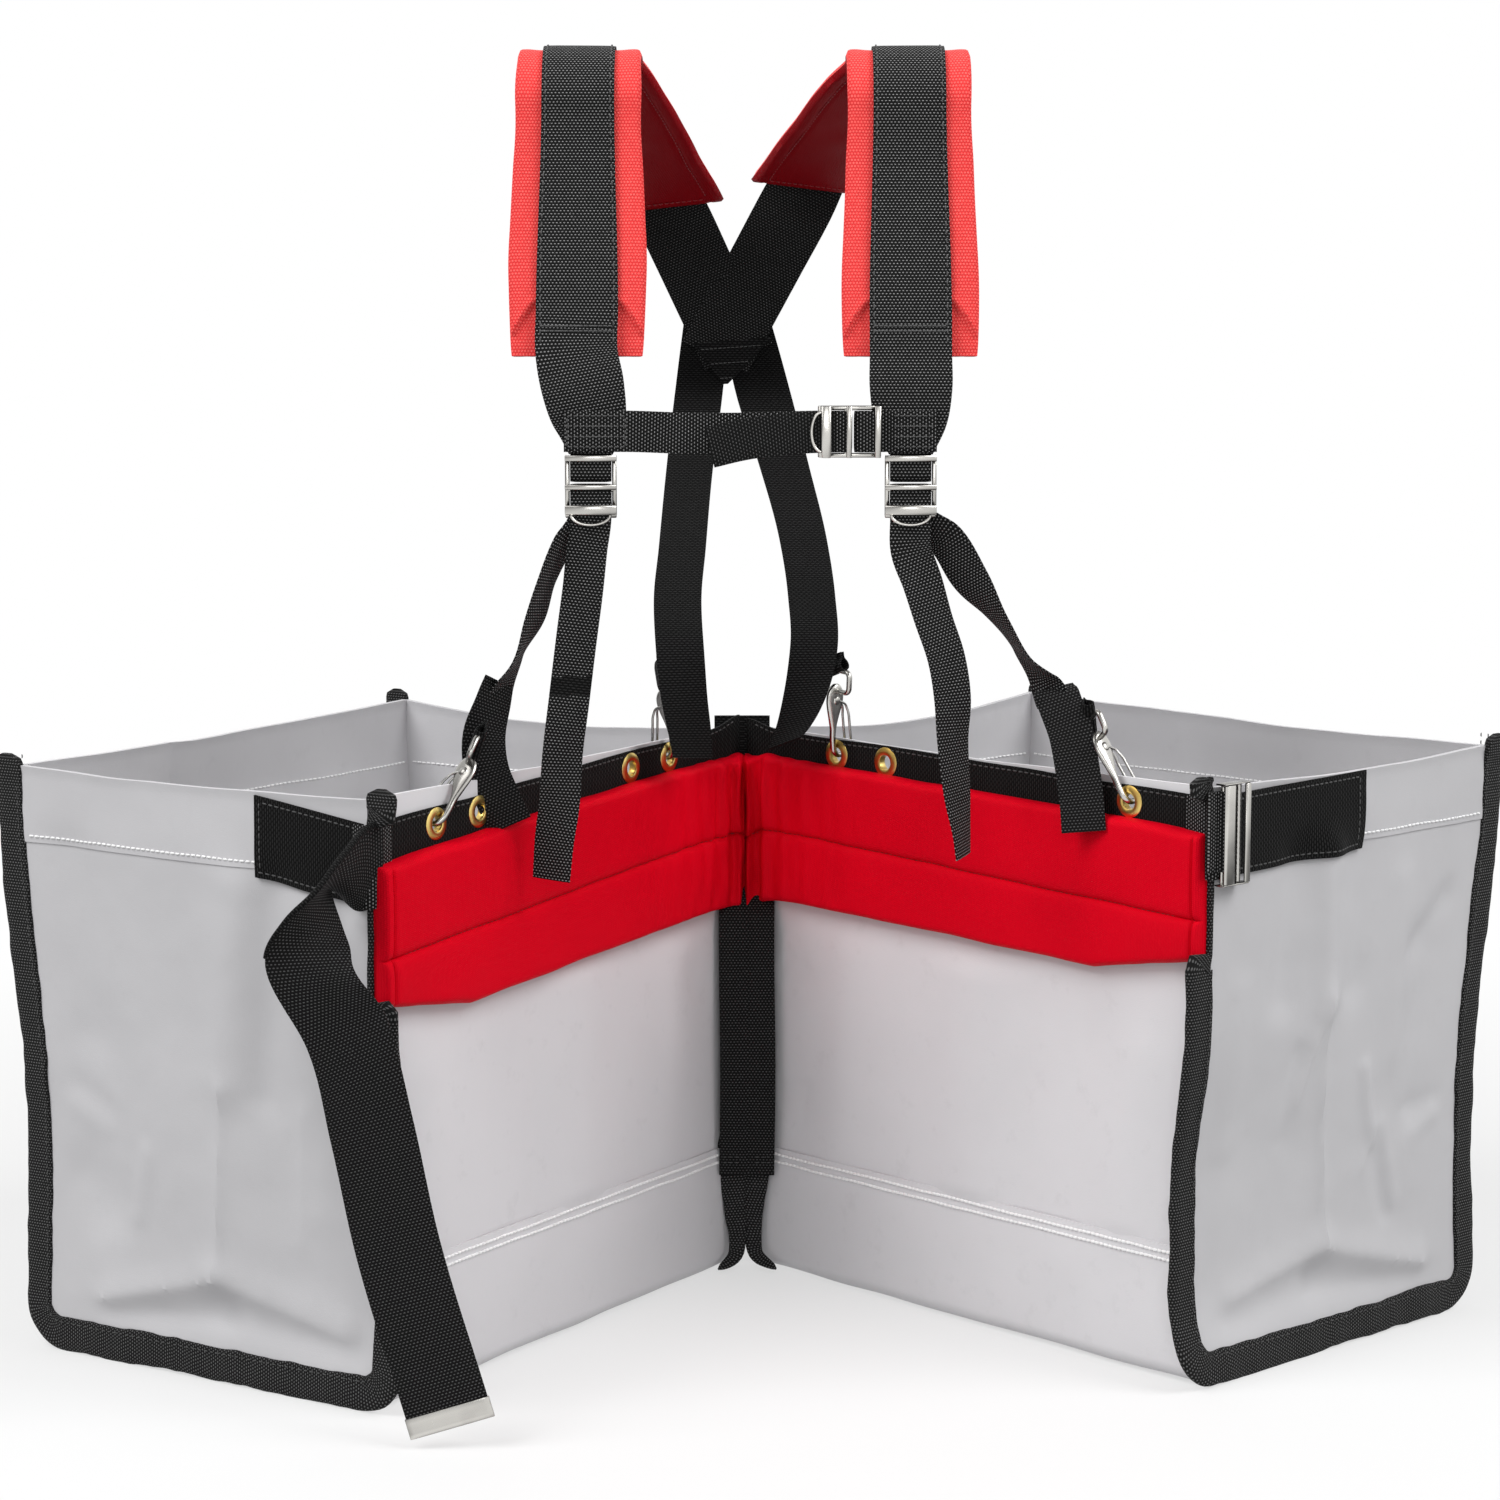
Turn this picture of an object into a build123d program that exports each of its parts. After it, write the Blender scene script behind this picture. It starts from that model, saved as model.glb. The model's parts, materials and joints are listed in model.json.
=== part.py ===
from build123d import *
import math
import os

os.makedirs("parts", exist_ok=True)

# Tree planting bag set: two bags joined at an upright fold, a padded hip belt and a shoulder harness.
# It is worked out about the fold's axis, with X to the right, Y away from the wearer's front and Z up,
# and moved at the end so that the origin is at the middle of the box's base. Millimetres and degrees.

# Cloth, webbing and the room between neighbours
cloth = 1.5
webbing = 1.6
gap = 0.3
seat = 0.1

# Bags
bag_width = 406.0
bag_depth = 280.0
bag_height = 381.0
left_angle = 57.7
right_angle = 46.4
fold_edge = 2.0
base_turn_up = 88.0
base_lap = 15.0
base_radius = 24.0
fin_width = 17.0
fin_thickness = 4.0
fin_drop = 8.0
fin_tip = 7.0
fin_radius = 28.0
fin_fold_width = 14.0

# Hip belt
belt_width = 50.8
belt_below_rim = 1.5
belt_pivot = 80.0
left_belt_droop = 2.4
right_belt_droop = 0.8
patch_end_below_rim = 3.5
left_patch_length = 85.0
right_patch_length = 150.0
pad_thickness = 15.0
pad_height = 100.0
pad_below_rim = 23.0
pad_seam_drop = 54.0
pad_seam_depth = 6.0
pad_end_run = 30.0
pad_end_inset = 0.5
pad_end_thickness = 7.0
pad_cut_length = 66.0
pad_cut_rise = 16.0

# Brass grommets in the belt band
grommet_below_rim = 12.0
grommet_inner_place = 82.0
grommet_inner_step = 46.0
grommet_outer_inset = 65.0
grommet_outer_step = 44.0
grommet_bore_radius = 5.0
grommet_wall = 1.2
grommet_flange_radius = 10.2
grommet_flange = 1.0

# Snap hooks
left_front_hook_tilt = 40.0
right_front_hook_tilt = 30.0
left_rear_hook_tilt = -14.0
right_rear_hook_tilt = -3.0
hook_arm = 4.5
hook_wire = 4.0
hook_tip_reach = 5.5
hook_tip_rise = 4.5
hook_tip_width = 3.5
hook_bend_radius = 5.0
hook_plate_width = 10.0
hook_plate_low = 33.0
hook_eye_low = 47.0
hook_eye_bar = 3.5
hook_eye_opening = 8.0
hook_eye_room = 1.2
rivet_height = 41.0
rivet_radius = 1.5
rivet_head_radius = 3.0
rivet_head = 0.9
tongue_thickness = 1.0
tongue_width = 7.0
tongue_foot_height = 3.0
tongue_root_room = 1.0
tongue_knee_step = 5.7
tongue_knee_drop = 2.0
tongue_tip_room = 1.4
thumb_curl = 5.0
left_front_loop_length = 40.0
right_front_loop_length = 27.0
rear_loop_length = 24.0

# Harness, heights counted from the bag's rim
strap_width = 25.4
back_strap_width = 31.8
fold_strap_width = 38.1
shoulder_x = 103.0
left_adjuster_x = 94.5
right_adjuster_x = 103.0
shoulder_front = -240.0
shoulder_rear = 35.0
shoulder_rear_x = 55.0
shoulder_bend_front = -200.0
shoulder_bend_run = 40.0
shoulder_bend_rise = 409.0
shoulder_bend_turn = 117.0
shoulder_top_rise = 452.0
shoulder_rear_rise = 359.0
sternum_rise = 215.0
adjuster_rise = 198.0
cross_rise = 264.0
cross_x = -7.0
cross_y = 72.0
cross_lead = 20.0
cross_tail = 28.0
shoulder_pad_width = 84.0
shoulder_pad_thickness = 9.0
shoulder_pad_edge = 4.0
shoulder_pad_low_rise = 262.0
shoulder_pad_corner = 28.0
shoulder_pad_end_width = 54.0
bend_steps = 6
slope_steps = 4
turn_steps = 4

# Adjusters
adjuster_bar_radius = 1.2
adjuster_rail = 2.5
adjuster_room = 0.8
adjuster_length = 36.0
adjuster_thickness = 2.4
adjuster_middle = 19.0
adjuster_middle_bar = 3.0
adjuster_end_bar = 4.0
lift_bow_width = 23.0
lift_bow_drop = 7.0
lift_bow_wire = 2.0
anchor_length = 18.0
sternum_anchor_length = 22.0
sternum_bar_x = 82.0
sternum_tail_end_x = -22.0
sternum_tail_droop = 9.0

# Loose lower straps
front_tail_length = 215.0
left_tail_lean = -20.0
right_tail_lean = 34.0
left_guard_length = 82.0
right_guard_length = 82.0
left_guard_lean = 0.0
right_guard_lean = 26.0
back_strap_start_x = 20.0
back_strap_start_drop = 22.0
back_strap_end_x = 44.5
back_strap_end_below_rim = 8.0
back_strap_bow = 9.0

# Fold straps
fold_strap_low = 70.0
link_strap_length = 130.0
link_strap_rise = 12.0

# Belt tail and buckle
tail_bow = 35.0
tail_bow_drop = 59.0
tail_bow_front = 12.0
tail_tip_x = 44.0
tail_tip_front = 46.0
tail_tip_height = 22.0
tip_length = 11.0
tip_thickness = 4.0
buckle_length = 24.0
buckle_wall = 1.2
buckle_depth = 7.8
buckle_mouth = 8.0
buckle_bar_radius = 1.5
friction_bar_radius = 1.6
friction_bar_place = 17.0
buckle_place = 10.0
buckle_ring_length = 12.0
belt_corner_run = 16.0

# Layers of a bag counted from the fold's axis, away from the wearer
pad_back = pad_thickness / 2
band_front = pad_back + gap
band_back = band_front + webbing
front_face = band_back + gap
front_inside = front_face + cloth
back_face = front_face + bag_depth
back_inside = back_face - cloth
lap_face = front_face - gap - cloth
lap_back = back_face + gap + cloth
grommet_middle = (band_front + front_inside) / 2
grommet_half = (front_inside - band_front) / 2 + seat + grommet_flange

# Heights
rim = bag_height
belt_top = rim - belt_below_rim
belt_bottom = belt_top - belt_width
belt_middle = (belt_top + belt_bottom) / 2
pad_top = rim - pad_below_rim
pad_bottom = pad_top - pad_height
belt_at_rim = rim - grommet_below_rim
fin_inside = bag_width - fin_thickness
pad_outer_end = bag_width - pad_end_inset

# Belt webbing round the outer front corner, in front of the band
wrap_outside = bag_width + gap + webbing
wrap_front = band_front - gap - webbing

# Places along the belt band of the grommets, from the fold outwards
outer_grommet = bag_width - grommet_outer_inset
grommet_places = [
    grommet_inner_place,
    grommet_inner_place + grommet_inner_step,
    outer_grommet - grommet_outer_step,
    outer_grommet,
]

sides = {"left": -1, "right": 1}
angles = {"left": left_angle, "right": right_angle}
droops = {"left": left_belt_droop, "right": right_belt_droop}
patch_lengths = {"left": left_patch_length, "right": right_patch_length}
adjuster_places = {"left": -left_adjuster_x, "right": right_adjuster_x}
guard_lengths = {"left": left_guard_length, "right": right_guard_length}
loop_lengths = {
    "left": {"front": left_front_loop_length, "rear": rear_loop_length},
    "right": {"front": right_front_loop_length, "rear": rear_loop_length},
}
hook_tilts = {
    "left": {"front": left_front_hook_tilt, "rear": left_rear_hook_tilt},
    "right": {"front": right_front_hook_tilt, "rear": right_rear_hook_tilt},
}
nodes = {}


def bag_point(side, along, deep, high):
    # A point of a bag, given along its front panel, away from the wearer and upwards
    turn = math.radians(angles[side])
    x = along * math.cos(turn) + deep * math.sin(turn)
    y = -along * math.sin(turn) + deep * math.cos(turn)
    return Vector(sides[side] * x, y, high)


def bag_direction(side):
    # The way along a bag's front panel, pointing to the right
    turn = math.radians(angles[side])
    return Vector(math.cos(turn), -sides[side] * math.sin(turn), 0)


def belt_drop(side, along):
    # How far the hip belt has sloped down at a place along the front panel
    return (along - belt_pivot) * math.tan(math.radians(droops[side]))


def grommet_height(side, along):
    return belt_at_rim - belt_drop(side, along)


def in_place(side, shape):
    # A right-hand bag's piece, turned to the bag's angle or mirrored for the left
    if side == "left":
        return Rot(0, 0, left_angle) * mirror(shape, about=Plane.YZ)
    return Rot(0, 0, -right_angle) * shape


def slab(low, high):
    # A box between two corners
    size = [b - a for a, b in zip(low, high)]
    middle = [(a + b) / 2 for a, b in zip(low, high)]
    return Pos(*middle) * Box(*size)


def trough(deep_low, deep_high, low, high, radius):
    # An upright outline across the bag's depth, with its two lower corners rounded
    middle = Pos((deep_low + deep_high) / 2, (low + high) / 2)
    outline = middle * Rectangle(deep_high - deep_low, high - low)
    lower_corners = outline.vertices().sort_by(Axis.Y)[:2]
    return fillet(lower_corners, radius)


def across_bag(outline, start, thickness):
    # An outline of the depth plane made into a plate at a place along the front panel
    return Pos(start, 0, 0) * extrude(Plane.YZ * outline, thickness)


def ribbon(stations, thickness):
    # Webbing from station to station: centre, way across, way along and width
    sections = []
    for centre, across, along, width in stations:
        plane = Plane(origin=centre, x_dir=across, z_dir=along)
        sections.append(plane * Rectangle(width, thickness))
    return loft(sections, ruled=True)


def webbing_ring(inner_radius, length, width):
    # A flat loop of webbing: its lower bend is round the origin, it runs up Z and is wide along X
    outer = Pos(0, length / 2) * Rot(0, 0, 90) * SlotCenterToCenter(length, 2 * (inner_radius + webbing))
    inner = Pos(0, length / 2) * Rot(0, 0, 90) * SlotCenterToCenter(length, 2 * inner_radius)
    return Pos(-width / 2, 0, 0) * extrude(Plane.YZ * (outer - inner), width)


def grommet_holes(side, radius):
    # Cutters for the grommets' barrels
    cutters = []
    for place in grommet_places:
        upright = Cylinder(radius, 4 * grommet_half)
        cutters.append(Pos(place, grommet_middle, grommet_height(side, place)) * Rot(90, 0, 0) * upright)
    return cutters


def sloped_plate(corners, thickness):
    # A plate in the front panel's plane, from its far face at the origin towards the wearer
    return extrude(Plane.XZ * make_face(Polyline(*corners, close=True)), thickness)


def make_bag_cloth(side):
    holes = grommet_holes(side, grommet_bore_radius + grommet_wall + seat)
    low = base_turn_up - base_lap
    front = slab((fold_edge, front_face, low), (bag_width, front_inside, rim))
    back = slab((fold_edge, back_inside, low), (bag_width, back_face, rim))
    outside = trough(lap_face, lap_back, fin_drop, base_turn_up, base_radius)
    base_top = fin_drop + cloth
    inside = trough(lap_face + cloth, lap_back - cloth, base_top, base_turn_up + cloth, base_radius - cloth)
    base = across_bag(outside - inside, fold_edge, bag_width - fold_edge)
    floor = fin_drop + cloth + gap
    gusset_radius = base_radius - cloth - gap
    gusset = trough(front_inside + gap, back_inside - gap, floor, rim, gusset_radius)
    nodes[side + "_front_panel"] = in_place(side, front - holes)
    nodes[side + "_back_panel"] = in_place(side, back)
    nodes[side + "_base_panel"] = in_place(side, base)
    nodes[side + "_outer_gusset"] = in_place(side, across_bag(gusset, bag_width - cloth, cloth))
    nodes[side + "_inner_gusset"] = in_place(side, across_bag(gusset, fold_edge, cloth))


def make_bindings(side):
    top = rim + fin_tip
    near = lap_face - gap
    far = lap_back + gap
    seam = trough(near, far, fin_drop - gap, top + gap, base_radius + gap)
    outer = trough(near - fin_width, far + fin_width, 0, top, fin_radius) - seam
    outer_band = across_bag(outer, fin_inside, fin_thickness)
    # Above the base's lap the front fin reaches to the panel, and it is folded away behind the pad and belt
    outer_band += slab((fin_inside, near - gap, base_turn_up + gap), (bag_width, band_back, top))
    notch_low = pad_bottom + pad_cut_rise - belt_drop(side, bag_width) - fin_thickness
    notch_high = belt_top - belt_drop(side, bag_width) + gap
    notch_far = (bag_width + gap, band_front, notch_high)
    outer_band -= slab((fin_inside - gap, near - fin_width - gap, notch_low), notch_far)
    inner = trough(near - fin_thickness, far + fin_width, 0, top, fin_radius) - seam
    inner_band = across_bag(inner, fold_edge, fin_thickness)
    # At the fold the inner tape lies flat on the front panel and ends under the hip pad
    under_pad = pad_bottom - gap
    cut_low = (fold_edge - gap, near - fin_thickness - gap, under_pad)
    inner_band -= slab(cut_low, (fold_edge + fin_thickness + gap, near + gap, top + gap))
    fold_low = (fold_edge, near - fin_thickness, fin_radius + fin_drop)
    inner_band += slab(fold_low, (fold_edge + fin_fold_width, near, under_pad))
    nodes[side + "_outer_binding"] = in_place(side, outer_band)
    nodes[side + "_inner_binding"] = in_place(side, inner_band)


def belt_corner(side):
    # Belt webbing from the front, above the pad, round the corner to the outer gusset
    drop = belt_drop(side, bag_width)
    low = belt_bottom - drop
    high = belt_top - drop
    above_pad = pad_top - drop + belt_corner_run * math.tan(math.radians(droops[side])) + gap
    start = (bag_width - belt_corner_run, wrap_front, above_pad)
    face = slab(start, (wrap_outside, wrap_front + webbing, high))
    return face + slab((bag_width + gap, wrap_front, low), (wrap_outside, band_back, high))


def make_belt(side):
    holes = grommet_holes(side, grommet_bore_radius + grommet_wall + seat)
    end = fin_inside - gap
    inner_drop = belt_drop(side, fold_edge)
    outer_drop = belt_drop(side, end)
    corners = [
        (fold_edge, belt_bottom - inner_drop),
        (end, belt_bottom - outer_drop),
        (end, belt_top - outer_drop),
        (fold_edge, belt_top - inner_drop),
    ]
    strip = Pos(0, band_back, 0) * sloped_plate(corners, webbing) - holes
    corner_top = belt_top - belt_drop(side, bag_width)
    patch_top = rim - patch_end_below_rim
    patch_end = front_face + patch_lengths[side]
    outline = Polyline(
        (front_face, corner_top - belt_width),
        (patch_end, patch_top - belt_width),
        (patch_end, patch_top),
        (front_face, corner_top),
        close=True,
    )
    patch = across_bag(make_face(outline), bag_width + gap, webbing)
    pieces = [strip, patch]
    if side == "left":
        pieces.append(belt_corner(side))
    nodes[side + "_belt_band"] = Compound(children=[in_place(side, piece) for piece in pieces])


def pad_section(side, along, front, rise):
    # The hip pad's outline at one place: an upper and a lower roll with a sewn channel between
    top = pad_top - belt_drop(side, along)
    bottom = top - pad_height + rise
    seam = top - pad_seam_drop
    channel = front + pad_seam_depth * (pad_back - front) / pad_thickness
    upper = (top + seam) / 2
    lower = (seam + bottom) / 2
    top_point = (pad_back, top)
    seam_point = (channel, seam)
    low_point = (pad_back, bottom)
    edges = [
        ThreePointArc(top_point, (front, upper), seam_point),
        ThreePointArc(seam_point, (front, lower), low_point),
        Line(low_point, top_point),
    ]
    return Pos(along, 0, 0) * (Plane.YZ * make_face(edges))


def make_hip_pad(side):
    full = -pad_thickness / 2
    thin = pad_back - pad_end_thickness
    cut_start = bag_width - pad_cut_length
    sections = [
        pad_section(side, fold_edge, thin, 0),
        pad_section(side, fold_edge + pad_end_run, full, 0),
        pad_section(side, cut_start, full, 0),
        pad_section(side, pad_outer_end, thin, pad_cut_rise),
    ]
    nodes[side + "_hip_pad"] = in_place(side, loft(sections, ruled=True))


def make_grommets(side):
    barrel_radius = grommet_bore_radius + grommet_wall
    bore = Cylinder(grommet_bore_radius, 4 * grommet_half)
    ring = Cylinder(barrel_radius, 2 * grommet_half)
    flange_middle = grommet_half - grommet_flange / 2
    ring += Pos(0, 0, flange_middle) * Cylinder(grommet_flange_radius, grommet_flange)
    ring += Pos(0, 0, -flange_middle) * Cylinder(grommet_flange_radius, grommet_flange)
    grommet = Rot(90, 0, 0) * (ring - bore)
    spots = [Pos(place, grommet_middle, grommet_height(side, place)) for place in grommet_places]
    group = [spot * grommet for spot in spots]
    nodes[side + "_grommets"] = Compound(children=[in_place(side, piece) for piece in group])


# A snap hook stands at its grommet's middle: X across the eye, Y through the hole, Z up the hook
arm_in = -grommet_half - gap
arm_out = arm_in - hook_arm
arm_middle = (arm_in + arm_out) / 2
tip_end = grommet_half + hook_tip_reach
eye_inner_width = strap_width + hook_eye_room
eye_outer_width = eye_inner_width + 2 * hook_eye_bar
eye_top = hook_eye_low + 2 * hook_eye_bar + hook_eye_opening
eye_bar_height = eye_top - hook_eye_bar / 2
loop_inner_radius = math.hypot(hook_arm / 2, hook_eye_bar / 2) + gap
loop_front = grommet_middle + arm_middle - loop_inner_radius - webbing
flex_deep = arm_in + gap + tongue_thickness / 2
flex_height = rivet_height - rivet_head_radius - tongue_root_room
tongue_deep = tip_end + tongue_tip_room + tongue_thickness / 2


def hook_body():
    outline = Polyline(
        (arm_out, hook_eye_low),
        (arm_out, -hook_wire / 2),
        (tip_end, -hook_wire / 2),
        (tip_end, hook_tip_rise),
        (tip_end - hook_tip_width, hook_tip_rise),
        (tip_end - hook_tip_width, hook_wire / 2),
        (arm_in, hook_wire / 2),
        (arm_in, hook_eye_low),
        close=True,
    )
    profile = make_face(outline)
    bend_corner = profile.vertices().sort_by(Axis.Y)[:2].sort_by(Axis.X)[0]
    profile = fillet(bend_corner, hook_bend_radius)
    body = extrude(Plane.YZ * profile, hook_arm / 2, both=True)
    half_plate = hook_plate_width / 2
    body += slab((-half_plate, arm_out, hook_plate_low), (half_plate, arm_in, hook_eye_low + hook_eye_bar))
    half_eye = eye_outer_width / 2
    eye = slab((-half_eye, arm_out, hook_eye_low), (half_eye, arm_in, eye_top))
    half_opening = eye_inner_width / 2
    opening_low = hook_eye_low + hook_eye_bar
    opening = slab(
        (-half_opening, arm_out - gap, opening_low),
        (half_opening, arm_in + gap, opening_low + hook_eye_opening),
    )
    body += eye
    body -= opening
    rivet_hole = Rot(90, 0, 0) * Cylinder(rivet_radius + seat, 2 * hook_arm)
    return body - Pos(0, arm_middle, rivet_height) * rivet_hole


def hook_rivet():
    shank = Cylinder(rivet_radius, hook_arm + 2 * rivet_head)
    head_middle = hook_arm / 2 + seat + rivet_head / 2
    shank += Pos(0, 0, head_middle) * Cylinder(rivet_head_radius, rivet_head)
    shank += Pos(0, 0, -head_middle) * Cylinder(rivet_head_radius, rivet_head)
    return Pos(0, arm_middle, rivet_height) * Rot(90, 0, 0) * shank


def hook_tongue():
    # A flat spring strip that steps back over the rim, with a curl for the thumb at its foot
    curl_end = tongue_deep + thumb_curl
    curl = ThreePointArc(
        (tongue_deep, tongue_foot_height),
        (tongue_deep + thumb_curl / 2, tongue_foot_height - thumb_curl / 4),
        (curl_end, tongue_foot_height + thumb_curl / 4),
    )
    knee = (flex_deep + tongue_knee_step, flex_height - tongue_knee_drop)
    strip = Polyline((flex_deep, flex_height), knee, (tongue_deep, tongue_foot_height)) + curl
    outline = trace(strip, tongue_thickness)
    return extrude(Plane.YZ * outline, tongue_width / 2, both=True)


def hook_loop(length):
    return Pos(0, arm_middle, eye_bar_height) * webbing_ring(loop_inner_radius, length, strap_width)


hook_places = {"front": outer_grommet, "rear": grommet_inner_place}


def at_grommet(side, name, shape):
    # Hung in a grommet, leaning towards the fold by the hook's tilt
    place = hook_places[name]
    spot = Pos(place, grommet_middle, grommet_height(side, place))
    return spot * Rot(0, -hook_tilts[side][name], 0) * shape


def hook_spot(side, name, up):
    # A point up a hook, along the front panel and upwards
    lean = math.radians(hook_tilts[side][name])
    place = hook_places[name]
    return place - up * math.sin(lean), grommet_height(side, place) + up * math.cos(lean)


def make_hooks(side):
    rivets = []
    loops = []
    for name in hook_places:
        nodes[side + "_" + name + "_hook"] = in_place(side, at_grommet(side, name, hook_body()))
        nodes[side + "_" + name + "_tongue"] = in_place(side, at_grommet(side, name, hook_tongue()))
        rivets.append(in_place(side, at_grommet(side, name, hook_rivet())))
        loops.append(in_place(side, at_grommet(side, name, hook_loop(loop_lengths[side][name]))))
    nodes[side + "_hook_rivets"] = Compound(children=rivets)
    nodes[side + "_hook_loops"] = Compound(children=loops)


# The guard flap hangs on the wearer's side of the front hook, with the front strap sewn over its top
guard_deep = loop_front - gap - webbing / 2
strap_end_deep = guard_deep - webbing - gap


def make_guard(side, lean):
    across = bag_direction(side)
    along, high = hook_spot(side, "front", eye_bar_height + loop_lengths[side]["front"])
    top = bag_point(side, along, guard_deep, high)
    low = bag_point(side, along + lean, guard_deep, high - guard_lengths[side])
    down = Vector(0, 0, -1)
    stations = [(top, across, down, strap_width), (low, across, down, strap_width)]
    nodes[side + "_hook_guard"] = ribbon(stations, webbing)


# Over the shoulder the webbing rises in front, bends over and slopes down, drawing in towards the back
adjuster_height = rim + adjuster_rise
bend_height = rim + shoulder_bend_rise
arch_top = rim + shoulder_top_rise
rear_height = rim + shoulder_rear_rise
sternum_height = rim + sternum_rise
cross_height = rim + cross_rise
anchor_inner_radius = adjuster_bar_radius + gap
shoulder_low = adjuster_height + anchor_inner_radius + webbing
right_axis = Vector(1, 0, 0)


def shoulder_line(side):
    # The middle of the shoulder webbing from the adjuster over the shoulder to the crossing
    sign = sides[side]
    x = sign * shoulder_x
    low_x = adjuster_places[side]
    chest = sternum_height + strap_width
    pad_low = rim + shoulder_pad_low_rise
    points = [
        Vector(low_x, shoulder_front, shoulder_low),
        Vector(low_x, shoulder_front, adjuster_height + anchor_length),
        Vector((x + low_x) / 2, shoulder_front, chest),
    ]
    for height in (pad_low, pad_low + shoulder_pad_corner):
        share = (height - chest) / (bend_height - chest)
        deep = shoulder_front + share * (shoulder_bend_front - shoulder_front)
        points.append(Vector(x, deep, height))
    for step in range(bend_steps + 1):
        turn = math.radians(shoulder_bend_turn * step / bend_steps)
        deep = shoulder_bend_front + shoulder_bend_run * (1 - math.cos(turn))
        points.append(Vector(x, deep, bend_height + (arch_top - bend_height) * math.sin(turn)))
    crest = points[-1]
    rear = Vector(sign * shoulder_rear_x, shoulder_rear, rear_height)
    for step in range(1, slope_steps + 1):
        points.append(crest + (rear - crest) * (step / slope_steps))
    crossing = Vector(cross_x, cross_y, cross_height)
    onward = (crossing - points[-1]).normalized()
    points.append(crossing + onward * cross_tail)
    return points


def line_frames(points):
    # Way along, level way across and outward facing at each point of a line
    frames = []
    last = len(points) - 1
    for index, point in enumerate(points):
        along = (points[min(index + 1, last)] - points[max(index - 1, 0)]).normalized()
        across = (right_axis - along * right_axis.dot(along)).normalized()
        frames.append((point, across, along, across.cross(along)))
    return frames


shoulder_first_pad = 3
shoulder_last_pad = shoulder_first_pad + 2 + bend_steps + slope_steps
layer = webbing + gap


def make_shoulder(side):
    frames = line_frames(shoulder_line(side))
    # The last stretch is straight from the arch's end through the crossing, one layer apart left and right
    end_along = (frames[-1][0] - frames[-2][0]).normalized()
    end_across = (right_axis - end_along * right_axis.dot(end_along)).normalized()
    end_facing = end_across.cross(end_along)
    stack = end_facing * (layer / 2 if side == "left" else -layer / 2)
    stations = []
    for index, (point, across, along, _) in enumerate(frames[:-1]):
        width = strap_width + 2 * adjuster_room if index == 0 else belt_width
        stations.append((point, across, along, width))
    lead = frames[-2][0] + end_along * cross_lead + stack
    stations.append((lead, end_across, end_along, belt_width))
    stations.append((frames[-1][0] + stack, end_across, end_along, belt_width))
    nodes[side + "_shoulder_webbing"] = ribbon(stations, webbing)
    sections = []
    for index in range(shoulder_first_pad, shoulder_last_pad + 1):
        point, across, along, facing = frames[index]
        inset = webbing / 2 + gap + shoulder_pad_thickness / 2
        first = index == shoulder_first_pad
        width = shoulder_pad_end_width if first else shoulder_pad_width
        plane = Plane(origin=point - facing * inset, x_dir=across, z_dir=along)
        sections.append(plane * shoulder_pad_outline(width))
    nodes[side + "_shoulder_pad"] = loft(sections, ruled=True)


def shoulder_pad_outline(width):
    # A flat pad outline with round edges, thickest in the middle on the wearer's side
    half = width / 2
    crown = shoulder_pad_thickness / 2
    edge = shoulder_pad_edge / 2
    edges = [
        ThreePointArc((-half, -edge), (0, -crown), (half, -edge)),
        ThreePointArc((half, -edge), (half + edge, 0), (half, edge)),
        ThreePointArc((half, edge), (0, crown), (-half, edge)),
        ThreePointArc((-half, edge), (-half - edge, 0), (-half, -edge)),
    ]
    return make_face(edges)


# Adjuster: the frame hangs from its round bar at the origin, with X across it
frame_half_width = strap_width / 2 + adjuster_room + adjuster_rail
frame_slot_half = strap_width / 2 + adjuster_room
turn_radius = math.hypot(adjuster_middle_bar / 2, adjuster_thickness / 2) + gap + webbing / 2


def adjuster_frame():
    half = adjuster_thickness / 2
    frame = Rot(0, 90, 0) * Cylinder(adjuster_bar_radius, 2 * frame_half_width)
    for sign in (-1, 1):
        ends = sorted((sign * frame_slot_half, sign * frame_half_width))
        frame += slab((ends[0], -half, -adjuster_length), (ends[1], half, 0))
    middle_low = -adjuster_middle - adjuster_middle_bar / 2
    frame += slab(
        (-frame_half_width, -half, middle_low), (frame_half_width, half, middle_low + adjuster_middle_bar)
    )
    end_half = adjuster_end_bar / 2
    frame += slab(
        (-frame_half_width, -end_half, -adjuster_length),
        (frame_half_width, end_half, adjuster_end_bar - adjuster_length),
    )
    return frame


def lift_bow():
    outer = Ellipse(lift_bow_width / 2, lift_bow_drop)
    inner = Ellipse(lift_bow_width / 2 - lift_bow_wire, lift_bow_drop - lift_bow_wire)
    lower = Pos(0, -lift_bow_drop) * Rectangle(2 * lift_bow_width, 2 * lift_bow_drop)
    bow = extrude(Plane.XZ * ((outer - inner) & lower), lift_bow_wire / 2, both=True)
    return Pos(0, 0, -adjuster_length - seat) * bow


def bar_turn(bar, across, down):
    # Webbing that comes up behind a bar, turns over it and goes down in front
    front = Vector(0, -1, 0)
    stations = []
    for step in range(turn_steps + 1):
        turn = math.pi * step / turn_steps
        outward = down * -math.sin(turn) - front * math.cos(turn)
        along = front * math.sin(turn) - down * math.cos(turn)
        stations.append((bar + outward * turn_radius, across, along, strap_width))
    return stations


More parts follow.
